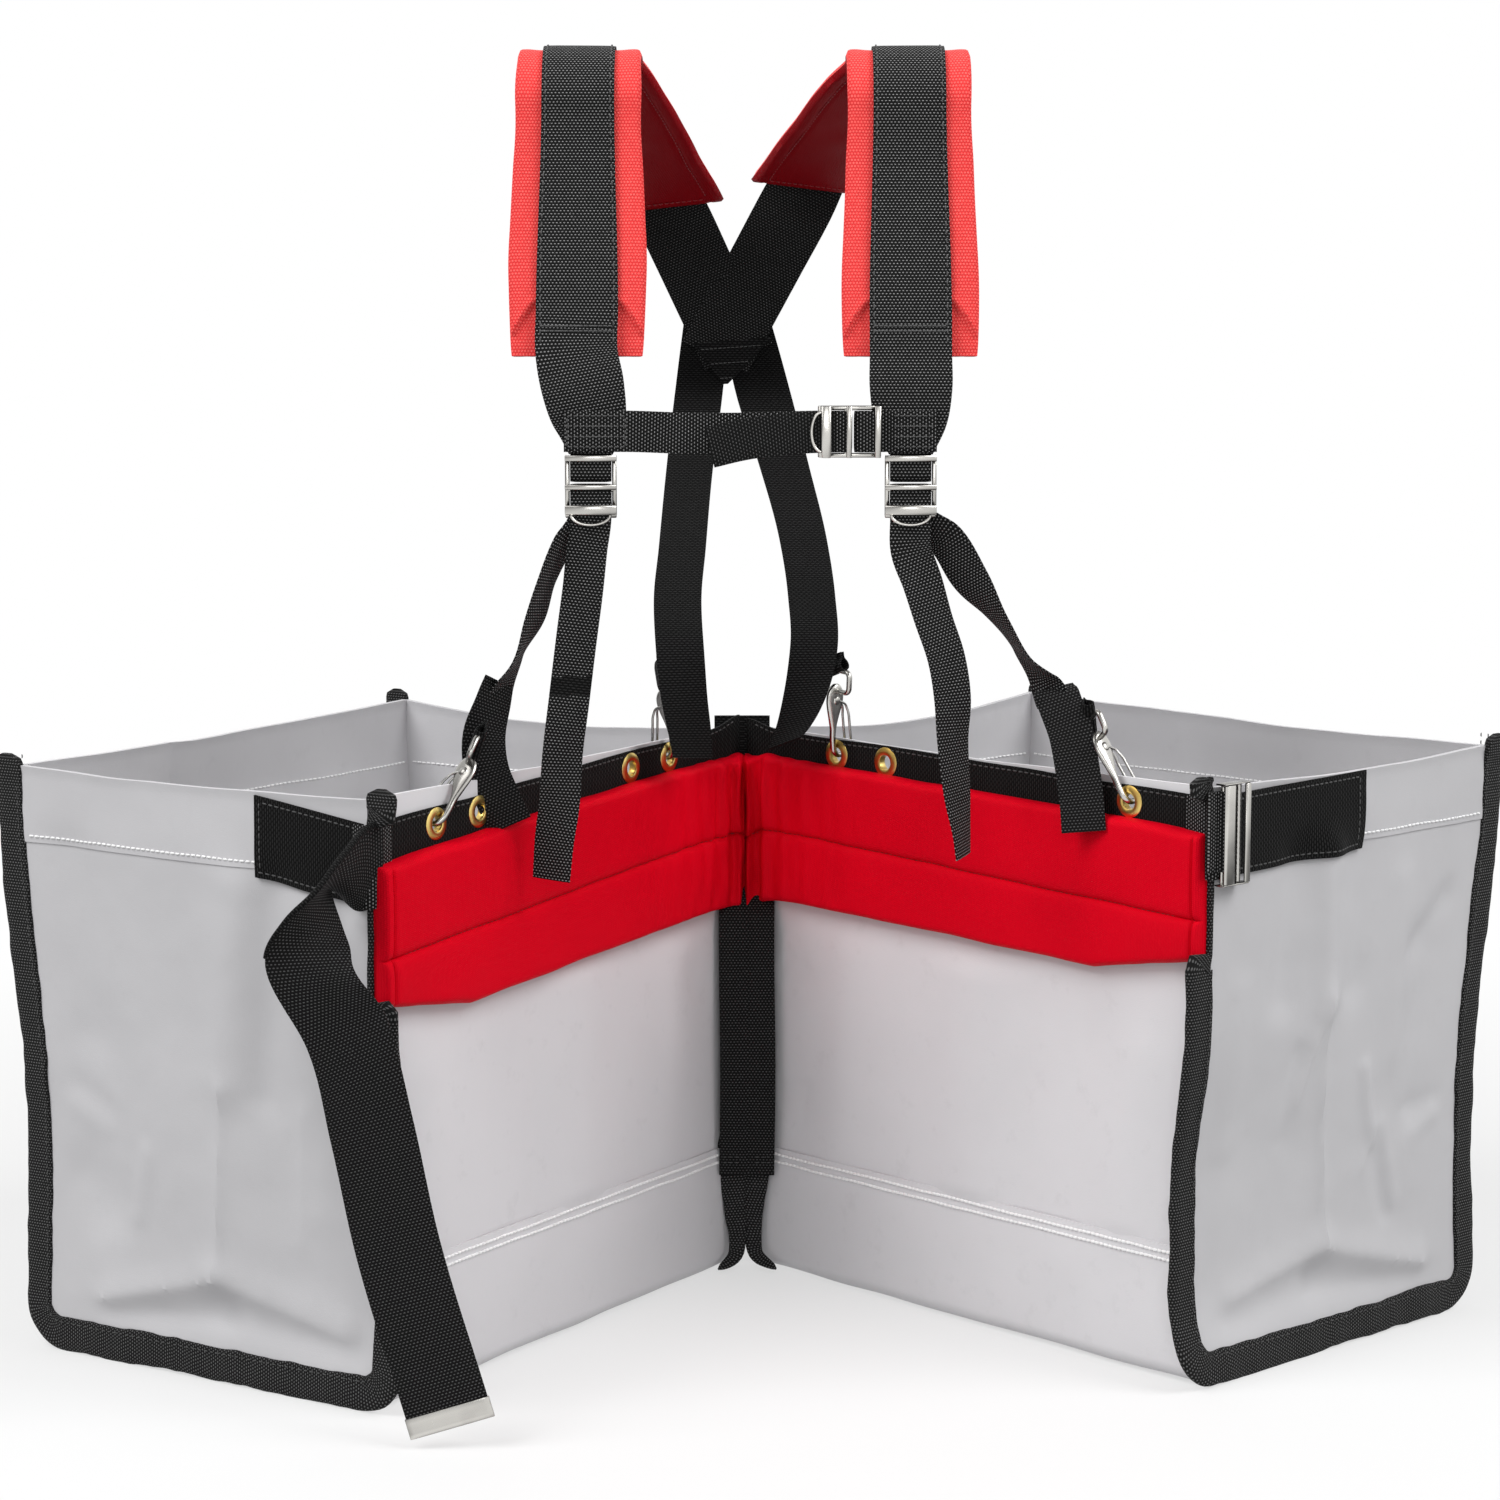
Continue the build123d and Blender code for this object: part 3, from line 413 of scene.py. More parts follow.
def smoothRun(stations, step):
    # a cubic through rows of numbers whose first three are a place
    s = np.asarray(stations, float)
    h = np.maximum(np.linalg.norm(np.diff(s[:, :3], axis=0), axis=1), 1e-6)
    d = np.diff(s, axis=0) / h[:, None]
    slope = np.empty_like(s)
    slope[0], slope[-1] = d[0], d[-1]
    slope[1:-1] = (d[:-1] * h[1:, None] + d[1:] * h[:-1, None]) / (h[:-1] + h[1:])[:, None]
    rows = []
    for i, gap in enumerate(h):
        t = np.linspace(0, 1, max(2, math.ceil(gap / step) + 1))[:-1, None]
        near = (2 * t**3 - 3 * t**2 + 1) * s[i] + (t**3 - 2 * t**2 + t) * gap * slope[i]
        rows.append(near + (3 * t**2 - 2 * t**3) * s[i + 1] + (t**3 - t**2) * gap * slope[i + 1])
    return np.concatenate(rows + [s[-1:]])


def runLength(stations, step=3.0):
    return float(runTo(smoothRun(stations, step)[:, :3])[-1])


webThick, webWidth, strapWidth = 1.6, 50.8, 25.4


def webbingShell(stations, width, step=3.0, columns=9, crown=0.0, square=True):
    # stations are a place, the way across and sometimes the width
    # square keeps each row at right angles to the run
    line = smoothRun(stations, step)
    centre = line[:, :3]
    along = unit(np.gradient(centre, axis=0))
    across = line[:, 3:6]
    if square:
        across = across - along * (across * along).sum(axis=1, keepdims=True)
    across = unit(across)
    facing = unit(np.cross(across, along))[:, None]
    half = (line[:, 6:] if line.shape[1] > 6 else np.full((len(line), 1), width)) / 2
    s = np.linspace(-1, 1, columns)
    edge = webThick / 2 * (1 - 0.5 * s**8)
    lift = crown * (1 - s * s)
    spread = centre[:, None] + across[:, None] * (half * s)[:, :, None]
    top = spread + facing * (edge + lift)[:, None]
    under = spread - facing * (edge - lift)[:, None]
    return loftShell(np.concatenate([top, under[:, ::-1]], axis=1), half * np.concatenate([s, s[::-1]]))


def underFaces(shell, columns):
    # 1 for the faces on the under side of a strip whose rings go over and back, and 0 for the rest
    return [int(columns - 1 < face[0] % (2 * columns) < 2 * columns - 1) for face in shell[1]]


def faceMiddles(shell):
    return [shell[0][list(face)].mean(axis=0) for face in shell[1]]


def sectionAlong(line, across, facing, section):
    # one flat outline, or one for each point, carried along a line
    line, section = np.asarray(line, float), np.asarray(section, float)
    across, facing = (np.broadcast_to(way, line.shape)[:, None] for way in (across, facing))
    return line[:, None] + across * section[..., :1] + facing * section[..., 1:]


def roundSection(halfWide, halfThick, power=3.0, count=16):
    # a rounded rectangle
    turn = np.linspace(0, 2 * math.pi, count, endpoint=False) + math.pi / count
    c, s = np.cos(turn), np.sin(turn)
    reach = (np.abs(c) ** power + np.abs(s) ** power) ** (-1 / power)
    return np.stack([c * reach * halfWide, s * reach * halfThick], axis=-1)


def barShell(start, end, across, wide, thick, power=4.0):
    # a straight metal bar with eased ends
    start, end = np.asarray(start, float), np.asarray(end, float)
    way = unit(end - start)
    across = unit(np.asarray(across, float) - way * np.dot(across, way))
    inset = way * min(wide, thick) * 0.12
    sections = [roundSection(wide / 2 * k, thick / 2 * k, power) for k in (0.82, 1, 1, 0.82)]
    line = [start, start + inset, end - inset, end]
    return loftShell(sectionAlong(line, across, np.cross(way, across), sections))


def wireShell(line, radius, facing, closed=False, flat=1.0):
    # a bent wire in the plane that faces the given way
    if closed:
        along = unit(np.roll(line, -1, axis=0) - np.roll(line, 1, axis=0))
    else:
        along = unit(np.gradient(line, axis=0))
    across = unit(np.cross(along, facing))
    section = roundSection(radius, radius * flat, 2.0, 10)
    return loftShell(sectionAlong(line, across, facing, section), closed=closed)


skew = (0.31, 0.52, 0.79)  # a way that no line here follows


def tubeShell(line, radius, count=10):
    # a round wire or rolled edge along any line
    along = unit(np.gradient(line, axis=0))
    side = np.cross(along[0], skew)
    across = []
    for way in along:
        side = unit(side - way * np.dot(side, way))
        across.append(side)
    sections = [roundSection(r, r, 2.0, count) for r in np.broadcast_to(radius, (len(line),))]
    return loftShell(sectionAlong(line, across, np.cross(along, across), sections))


def latheShell(profile, centre, axis, around=36):
    # a closed outline of radius and height turned about an axis
    axis = unit(axis)
    first = unit(np.cross(axis, skew))
    second = np.cross(axis, first)
    profile = np.asarray(profile, float)
    rings = []
    for turn in np.linspace(0, 2 * math.pi, around, endpoint=False):
        out = first * math.cos(turn) + second * math.sin(turn)
        rings.append(np.asarray(centre) + profile[:, :1] * out + profile[:, 1:] * axis)
    return loftShell(rings, closed=True)


def makePiece(name, shells, finish, body=None, replaces=(), place=None, sharp=38, paint=None):
    # finish is one name, or a list of names with each face's number in it as paint
    kinds = [finish] if isinstance(finish, str) else finish
    faces, start = [], 0
    for points, shellFaces, _ in shells:
        faces.extend(tuple(start + index for index in face) for face in shellFaces)
        start += len(points)
    points = np.concatenate([shell[0] for shell in shells])
    if place:
        points = place(points)
    mesh = bpy.data.meshes.new(name)
    mesh.from_pydata(toRow(points).tolist(), [], faces)
    corner = np.empty(len(mesh.loops), int)
    mesh.loops.foreach_get("vertex_index", corner)
    layer = mesh.uv_layers.new(name="cloth")
    layer.data.foreach_set("uv", (np.concatenate([shell[2] for shell in shells])[corner] * 0.001).ravel())
    work = bmesh.new()
    work.from_mesh(mesh)
    bmesh.ops.recalc_face_normals(work, faces=work.faces)
    work.to_mesh(mesh)
    work.free()
    mesh.shade_smooth()
    mesh.set_sharp_from_angle(angle=math.radians(sharp))
    for kind in kinds:
        mesh.materials.append(finishes[kind][0])
    if paint is not None:
        mesh.polygons.foreach_set("material_index", paint)
    piece = bpy.data.objects.new(name, mesh)
    bpy.context.collection.objects.link(piece)
    if replaces:
        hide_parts(*replaces)
    if body:
        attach(piece, body)
    return piece


def blendPiece(piece, start, end):
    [tuple(spot) for spot in toRow([start, end])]
    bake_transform(piece)


# Stitches are small thread grains, gathered for each body and colour and made at the end
sewing = {}
grain = {"round": 6, "rings": [(-0.5, 0.45, 0.7), (-0.3, 1.0, 0.1), (0.3, 1.0, 0.1), (0.5, 0.45, 0.7)]}
stitches = {
    # thread, pitch, length, girth and lift
    "hem": ("paleThread", 4.2, 3.5, 0.66, 0.4),
    "lap": ("paleThread", 3.7, 3.6, 1.0, 0.8),
    "tape": ("darkThread", 5.0, 2.6, 0.4, 0.2),
    "patch": ("darkThread", 4.6, 3.3, 0.5, 0.2),
    "belt": ("darkThread", 5.0, 3.3, 0.5, 0.2),
    "pad": ("redThread", 4.0, 2.9, 0.4, 0.2),
    "lining": ("redThread", 4.0, 2.9, 0.4, 0.3),
    "edge": ("darkThread", 5.2, 3.2, 0.5, 0.2),
    "padEnd": ("darkThread", 3.0, 2.8, 0.6, 0.2),
    "box": ("darkThread", 3.6, 2.6, 0.5, 0.2),
    "crossing": ("darkThread", 3.0, 2.4, 0.3, 0.2),
    "foot": ("darkThread", 4.0, 2.6, 0.4, 0.2),
}


def sew(body, kind, line, facing, place=None):
    thread, pitch, length, girth, lift = stitches[kind]
    line = np.asarray(line, float)
    facing = np.broadcast_to(np.asarray(facing, float), line.shape)
    if place:
        facing = unit(place(line + facing) - place(line))
        line = place(line)
    run = runTo(line)
    at = np.arange(pitch / 2, run[-1], pitch)

    def pick(values, shift=0.0):
        return np.stack([np.interp(at + shift, run, column) for column in values.T], axis=-1)

    out = unit(pick(facing))
    along = unit(pick(line, 0.5) - pick(line, -0.5))
    sewing.setdefault((body, thread), []).append((pick(line) + out * lift, along, out, length, girth))


def makeStitches():
    turns = np.linspace(0, 2 * math.pi, grain["round"], endpoint=False)[:, None]
    for (body, thread), rows in sewing.items():
        shells = []
        for middles, ways, outs, length, girth in rows:
            for middle, along, out in zip(middles, ways, outs):
                ring = np.cross(along, out) * np.cos(turns) + out * np.sin(turns)
                rings = []
                for end, wide, sink in grain["rings"]:
                    rings.append(middle + along * end * length - out * sink * girth + ring * girth * wide)
                shells.append(loftShell(rings))
        makePiece(body + "_" + thread, shells, thread, body, sharp=80)
        print("stitches:", body, thread, len(shells))


# Bag cloth
panelSet = {
    "front": {"out": (0, -1, 0), "span": bag["along"], "low": 74.0, "columns": 136, "sag": 1.5},
    "back": {"out": (0, 1, 0), "span": bag["along"], "low": 74.0, "columns": 110, "sag": 3.0},
    "outer": {"out": (1, 0, 0), "span": bag["deep"], "low": 5.2, "columns": 96, "sag": 3.0},
    "inner": {"out": (-1, 0, 0), "span": bag["deep"], "low": 5.2, "columns": 72, "sag": 10.0},
}
panelNode = {
    "front": "_front_panel",
    "back": "_back_panel",
    "outer": "_outer_gusset",
    "inner": "_inner_gusset",
}
# each panel takes a copy of the bag cloth painted lighter or darker as light and shade
panelFinish = {"front": "frontCloth", "outer": "outerCloth", "back": "bagCloth", "inner": "bagCloth"}
panelForm = {
    "lowerRows": 92,
    "hemRows": 20,
    "cornerRadius": 13.0,
    # folds fade out towards the seams, under the hip pad and at the stiff rim
    "seam": 18,
    "foot": 22,
    "underPad": (262, 232),
    "deepestFront": -0.9,
    "stiffRim": (325, 375),
    "roll": (0.9, 3.0),
    "foldSeed": {"left": 3, "right": 5},
    "rimSeed": {"left": 11, "right": 17},
}
# folds are start, end, half-width and height, across the panel and up it
softFolds = {
    ("left", "outer"): [
        (150, 330, 150, 170, 60, 5.0), (252, 330, 248, 215, 20, -3.0), (232, 215, 240, 120, 26, -2.2),
        (256, 118, 240, 100, 20, -2.6), (262, 178, 236, 166, 9, -1.2), (264, 164, 240, 152, 8, 0.9),
        (112, 316, 128, 200, 18, 3.5), (82, 320, 96, 190, 16, -3.5), (60, 300, 52, 120, 18, 2.5),
        (150, 120, 140, 90, 46, 4.0), (140, 46, 232, 22, 17, -4.6), (140, 46, 26, 28, 17, -3.6),
        (140, 68, 232, 44, 12, 2.6), (140, 68, 40, 50, 12, 2.4), (200, 140, 210, 100, 8, 1.8),
        (24, 330, 40, 300, 12, -2.5),
    ],
    ("right", "outer"): [
        (150, 260, 150, 120, 60, 3.5), (124, 330, 127, 236, 13, 6.0), (92, 330, 84, 240, 15, -4.0),
        (158, 320, 160, 240, 15, -3.5), (258, 284, 226, 256, 11, -2.4), (240, 250, 232, 150, 17, -3.4),
        (206, 300, 208, 190, 14, 2.5), (104, 200, 92, 150, 8, -2.5), (120, 222, 92, 152, 8, 2.5),
        (176, 182, 188, 132, 6, 2.8), (188, 132, 206, 84, 9, -2.0), (200, 140, 214, 88, 7, 2.0),
        (262, 150, 236, 148, 8, -1.3), (262, 140, 238, 130, 7, 1.6), (134, 48, 44, 32, 17, -3.8),
        (136, 46, 250, 20, 17, -4.6), (136, 70, 50, 54, 12, 2.4), (136, 70, 242, 44, 12, 2.6),
        (40, 250, 34, 150, 12, 2.5),
    ],
    ("left", "back"): [
        (200, 330, 210, 150, 90, 7.0), (90, 320, 80, 160, 26, -4.0),
        (330, 310, 320, 120, 26, -4.0),
    ],
    ("right", "back"): [
        (200, 330, 190, 150, 90, 7.0), (110, 300, 90, 140, 30, -4.0),
        (320, 320, 335, 120, 24, -4.0),
    ],
    ("left", "inner"): [(150, 320, 150, 120, 70, 6.0), (90, 300, 80, 160, 20, -3.0)],
    ("right", "inner"): [(150, 320, 150, 120, 70, 6.0), (210, 300, 220, 160, 20, -3.0)],
    ("left", "front"): [
        (185, 230, 186, 90, 34, 4.5), (355, 200, 352, 90, 26, 3.0), (262, 220, 262, 90, 26, -2.5),
        (40, 205, 52, 215, 12, -1.6), (70, 230, 84, 100, 22, 2.0),
    ],
    ("right", "front"): [
        (205, 230, 205, 90, 34, 4.5), (350, 200, 345, 90, 26, 3.0), (280, 220, 276, 90, 26, -2.5),
        (34, 212, 46, 214, 9, -2.0), (32, 128, 46, 130, 9, -2.0), (90, 230, 84, 100, 22, 2.0),
    ],
}
sharpFolds = {
    ("left", "outer"): [
        (130, 190, 139, 72, 7, 3.2), (66, 182, 70, 100, 7, 1.4), (140, 66, 244, 40, 6, 2.0),
        (140, 66, 36, 44, 6, 1.6),
    ],
    ("right", "outer"): [
        (126, 236, 137, 72, 6, 3.6), (124, 226, 104, 170, 6, 2.0), (190, 142, 178, 116, 5, 2.0),
        (136, 68, 250, 40, 6, 2.0), (136, 68, 46, 50, 6, 1.6),
    ],
    ("left", "back"): [(258, 381, 250, 322, 11, 7.0), (236, 381, 232, 330, 10, -3.0)],
    ("right", "back"): [(140, 381, 150, 330, 14, -3.0)],
}


def panelBulge(side, panel, a, z):
    total = np.zeros(np.shape(a))
    for folds, power in ((softFolds, 2), (sharpFolds, 1)):
        for a0, z0, a1, z1, wide, high in folds.get((side, panel), []):
            da, dz = a1 - a0, z1 - z0
            t = np.clip(((a - a0) * da + (z - z0) * dz) / (da * da + dz * dz), 0, 1)
            away = np.hypot(a - a0 - t * da, z - z0 - t * dz) / wide
            total = total + high * np.exp(-(away**power))
    low, high = panelSet[panel]["span"]
    foot = panelSet[panel]["low"] + (0 if panel in ("front", "back") else 14)
    form = panelForm
    edges = fade(a, low, low + form["seam"]) * fade(a, high, high - form["seam"])
    edges = edges * fade(z, foot, foot + form["foot"])
    if panel == "front":
        return np.maximum(total, form["deepestFront"]) * edges * fade(z, *form["underPad"])
    seed = form["foldSeed"][side]
    total = total + 0.7 * ripple(a, z, 46, seed) + 0.2 * ripple(a, z, 17, seed + 1)
    return total * edges * (1 - 0.45 * fade(z, *form["stiffRim"]))


def panelPoint(side, panel, a, z, lift):
    face = bag[panel] + (panelBulge(side, panel, a, z) + lift) * sum(panelSet[panel]["out"])
    return spots(a, face, z) if panel in ("front", "back") else spots(face, a, z)


def rimHeight(side, panel, a):
    low, high = panelSet[panel]["span"]
    middle = np.sin(math.pi * (a - low) / (high - low))
    seed = panelForm["rimSeed"][side] + len(panel)
    fall = 9.0 * hump(a, low, 20) if panel == "inner" else 0.0
    return bag["rim"] - fall - panelSet[panel]["sag"] * middle + wander(a, 60, seed) * middle


def panelSheet(side, panel):
    setting = panelSet[panel]
    start, end = setting["span"]
    a = np.linspace(start, end, setting["columns"])
    low = np.full(len(a), setting["low"])
    if panel in ("outer", "inner"):
        radius = panelForm["cornerRadius"]
        reach = np.clip(radius - np.minimum(a - start, end - a), 0, radius)
        low = low + radius - np.sqrt(radius**2 - reach**2)
    top = rimHeight(side, panel, a)
    hemLow = bag["rim"] - bag["hem"]
    lower = low + (hemLow - 0.3 - low) * np.linspace(0, 1, panelForm["lowerRows"])[:, None]
    upper = hemLow + (top - hemLow) * np.linspace(0, 1, panelForm["hemRows"])[:, None]
    z = np.concatenate([lower, upper])
    a = np.broadcast_to(a, z.shape)
    # the hem's second layer and its rolled edge; the belt covers them on the front
    size, reach = panelForm["roll"]
    roll = size * hump(z, top, reach)
    extra = roll.copy()
    extra[panelForm["lowerRows"]:] += bag["hemLayer"]
    front = panelPoint(side, panel, a, z, bag["cloth"] + (0 if panel == "front" else extra))
    back = panelPoint(side, panel, a, z, -bag["cloth"] - roll)
    hole = grommetHoles(side, a, z) if panel == "front" else None
    shell = slabShell(front, back, np.stack([a, z], axis=-1), hole)
    piece = makePiece(
        side + "_" + panel + "_cloth", [shell], panelFinish[panel], side + "_bag", [side + panelNode[panel]],
        inBag(side), 30,
    )
    if panel != "front":
        run = np.linspace(start + 5, end - 5, 120)
        level = bag["rim"] - bag["hemStitch"] + 0.5 * wander(run, 30, 4)
        for lift, way in ((bag["cloth"] + bag["hemLayer"], 1), (-bag["cloth"], -1)):
            line = panelPoint(side, panel, run, level, lift)
            sew(side + "_bag", "hem", line, way * np.array(setting["out"]), inBag(side))


def trough(setting, down, flat, turns):
    # a line down the front, along the floor and up the back, and the way out of it
    near, far, under, r = (setting[key] for key in ("near", "far", "under", "radius"))
    turn = np.linspace(0, math.pi / 2, turns)[1:-1]
    c, s = r - r * np.cos(turn), r - r * np.sin(turn)
    deep = np.concatenate([near + 0 * down, near + c, flat, far - s, far + 0 * down])
    high = np.concatenate([down, under + s, under + 0 * flat, under + c, down[::-1]])
    return deep, high, unit(np.stack([np.gradient(high), -np.gradient(deep)], axis=-1))


basePanel = {
    "near": 8.65,
    "far": 290.75,
    "under": 2.8,
    "radius": 10.0,
    "turnUp": 88.0,
    "sag": 1.2,
    "stitches": (83.5, 78.3),
    "seed": {"left": 21, "right": 23},
}


def makeBase(side):
    b = basePanel
    r = b["radius"]
    down = np.linspace(b["turnUp"], b["under"] + r, 16)
    deep, high, out = trough(b, down, np.linspace(b["near"] + r, b["far"] - r, 46), 14)
    run = runTo(np.stack([deep, high], axis=-1))
    u = np.linspace(*bag["along"], 100)
    uGrid, runGrid = np.meshgrid(u, run)
    middle = np.sin(math.pi * np.clip((uGrid - 2) / 404, 0, 1)) ** 0.5
    bulge = 0.7 * ripple(uGrid, runGrid, 50, b["seed"][side]) * fade(uGrid, 2, 27) * fade(uGrid, 404, 379)
    bulge = bulge * fade(runGrid, 0, 25) * fade(runGrid, run[-1], run[-1] - 25)
    bulge = bulge + b["sag"] * middle * np.sin(math.pi * runGrid / run[-1])
    grids = []
    for lift in (bag["cloth"], -bag["cloth"]):
        w = bulge + lift
        level = np.maximum(high[:, None] + w * out[:, 1:], 0.5 - 0.2 * np.sign(lift))
        grids.append(spots(uGrid, deep[:, None] + w * out[:, :1], level))
    shell = slabShell(*grids, np.stack([uGrid, runGrid], axis=-1))
    # the base takes the copy painted lighter as light
    piece = makePiece(
        side + "_base_cloth", [shell], "frontCloth", side + "_bag", [side + "_base_panel"], inBag(side), 30
    )
    for level in b["stitches"]:
        row = np.argmin(np.abs(down - level))
        for line, way in ((grids[0][row], -1), (grids[0][-1 - row], 1)):
            line = spots(line[:, 0], line[:, 1], level + 0.4 * wander(u, 25, level))
            sew(side + "_bag", "lap", line[1:-1], (0, way, 0), inBag(side))


# Binding tape folded over the seams at the ends of each bag
binding = {
    "half": 11.0,
    "thick": 5.2,
    "along": 405.1,
    "near": 0.6,
    "far": 298.8,
    "under": 11.6,
    "radius": 20.0,
    "tip": 7.0,
    "step": 3.0,
    "flare": {"left": 2.5, "right": 5.0},
    "seed": {"left": 31, "right": 37},
    "seamInset": 8.0,
    "innerHalf": 9.6,
    "innerAlong": 1.2,
    # front part of the inner tapes: out from the middle, towards the wearer, height and half width
    "spread": {
        "left": [
            (8.6, 10.0, 72, 9.6), (6.9, 10.0, 46, 7.6), (5.9, 10.0, 26, 6.0), (7.6, 10.5, 12, 5.2),
            (19.0, 14.5, 3, 1.8),
        ],
        "right": [
            (8.6, 9.0, 72, 9.6), (6.9, 9.0, 46, 7.6), (5.9, 9.0, 26, 6.0), (7.6, 9.5, 12, 5.2),
            (22.0, 15.5, 3, 1.8),
        ],
    },
}
tapeSection = [(-1, 0.62), (-0.92, 1), (-0.3, 0.94), (0.35, 1), (0.8, 0.9), (0.97, 0.5), (1.0, 0)]
tapeSection = np.array(tapeSection + [(a, -b) for a, b in tapeSection[-2::-1]])


def tapeShell(line, out, seed, half, thick):
    # the tape's fold is on its outer edge
    along = unit(np.gradient(line, axis=0))
    out = unit(out - along * (out * along).sum(axis=1, keepdims=True))
    facing = np.cross(along, out)
    run = runTo(line)
    tip = 1 - np.clip(np.minimum(run, run[-1] - run) / 6, 0, 1)
    tip = 0.3 + 0.7 * np.sqrt(1 - tip * tip)
    wide = half * (1 + 0.07 * wander(run, 38, seed) + 0.04 * wander(run, 9, seed + 1)) * tip
    fat = thick / 2 * (1 + 0.18 * wander(run, 22, seed + 2)) * (0.5 + 0.5 * tip)
    shift = 1.1 * wander(run, 55, seed + 3) + 0.6 * wander(run, 21, seed + 5)
    lean = 0.7 * wander(run, 45, seed + 4) + 0.35 * wander(run, 16, seed + 6)
    line = line + out * shift[:, None] + facing * lean[:, None]
    rings = sectionAlong(line, out, facing, tapeSection * np.stack([wide, fat], axis=-1)[:, None])
    rings[..., 2] = np.maximum(rings[..., 2], 0.3)
    return loftShell(rings), run[-1]


def makeBindings(side):
    b = binding
    seed, body, place = b["seed"][side], side + "_bag", inBag(side)
    low = b["under"] + b["radius"]
    flat = np.arange(b["near"] + b["radius"], b["far"] - b["radius"], b["step"])
    deep, high, out = trough(b, np.arange(bag["rim"] + b["tip"], low, -b["step"]), flat, 12)
    way = spots(0.0, out[:, 0], out[:, 1])
    flare = fade(high, 362, 388) * (deep > 150) * b["flare"][side]
    # the front fin is pressed flat behind the pad's end and the belt, and stands free above them
    foot, fall = hipPad["bottom"][side]
    padLow = foot - fall * (bag["width"] - belt["pivot"]) + hipPad["cutRise"]
    beltTop = belt["high"] - beltDrop(side, bag["width"])
    press = fade(high, padLow - 3, padLow + 3) * fade(high, beltTop + 6, beltTop + 2) * (deep < 60)
    line = spots(b["along"] + flare, deep + press * (belt["deep"] - b["near"]), high)
    shell, length = tapeShell(line, way, seed, b["half"] * (1 - 0.86 * press), b["thick"])
    outer = makePiece(side + "_outer_tape", [shell], "tape", body, [side + "_outer_binding"], place)
    # the inner tape goes up the back of the fold
    keep = (deep > 60) | ((high < 12) & (deep > 24))
    line = spots(b["innerAlong"], deep, high)[keep]
    backShell, backLength = tapeShell(line, way[keep], seed + 9, b["innerHalf"], 4.6)
    # in front it faces the wearer below the fold strap, narrows and turns out at the floor
    turn = math.radians(bag["turn"][side])
    c, s = math.cos(turn), math.sin(turn)
    rows = [(9.5, 5.8, level, -1, 0.15, 0, b["innerHalf"]) for level in (256, 112)]
    for x, y, level, half in b["spread"][side]:
        rows.append((x * c + y * s, x * s - y * c, level, -c, -s, 0, half))
    rows = smoothRun(rows, b["step"])
    shell, length = tapeShell(rows[:, :3], unit(rows[:, 3:6]), seed + 5, rows[:, 6], 3.6)
    shells = [shell, backShell]
    inner = makePiece(side + "_inner_tape", shells, "tape", body, [side + "_inner_binding"], place)
    # binding seam on both faces
    keep = (deep > 60) | (high < 250)
    for facing in (1, -1):
        lift = facing * (b["thick"] / 2 + 0.1)
        seam = spots(b["along"] + lift, deep - out[:, 0] * b["seamInset"], high - out[:, 1] * b["seamInset"])
        sew(body, "tape", seam[keep], (facing, 0, 0), place)


# Hip belt: it slopes down from the fold to the outer corners
grommet = {"places": (82.0, 128.0, 297.0, 341.0), "deep": 9.5, "height": 369.0, "bore": 6.6}
belt = {
    "pivot": 80.0,
    "slope": {"left": 0.0419, "right": 0.014},
    "low": 328.7,
    "high": 379.5,
    "deep": 8.6,
    "thick": 0.8,
    "ends": (-6.0, 402.0),
    "corner": [
        (388.0, 6.8), (396.0, 6.2), (402.5, 5.2), (407.2, 5.4), (410.0, 8.0), (410.2, 12.5), (409.2, 18.0),
    ],
    "patchStart": (9.7, 12.0),
    "patch": {"left": 85.0, "right": 150.0},
    "patchTop": 377.5,
    "patchLift": (1.9, 0.3),
}


def beltDrop(side, along):
    return (along - belt["pivot"]) * belt["slope"][side]


def grommetHeight(side, along):
    return grommet["height"] - beltDrop(side, along)


def grommetHoles(side, u, z):
    # the cells of a grid that lie in a grommet's bore
    along, high = ((grid[:-1, :-1] + grid[1:, 1:]) / 2 for grid in (u, z))
    away = [np.hypot(along - spot, high - grommetHeight(side, spot)) for spot in grommet["places"]]
    return np.min(away, axis=0) < grommet["bore"]


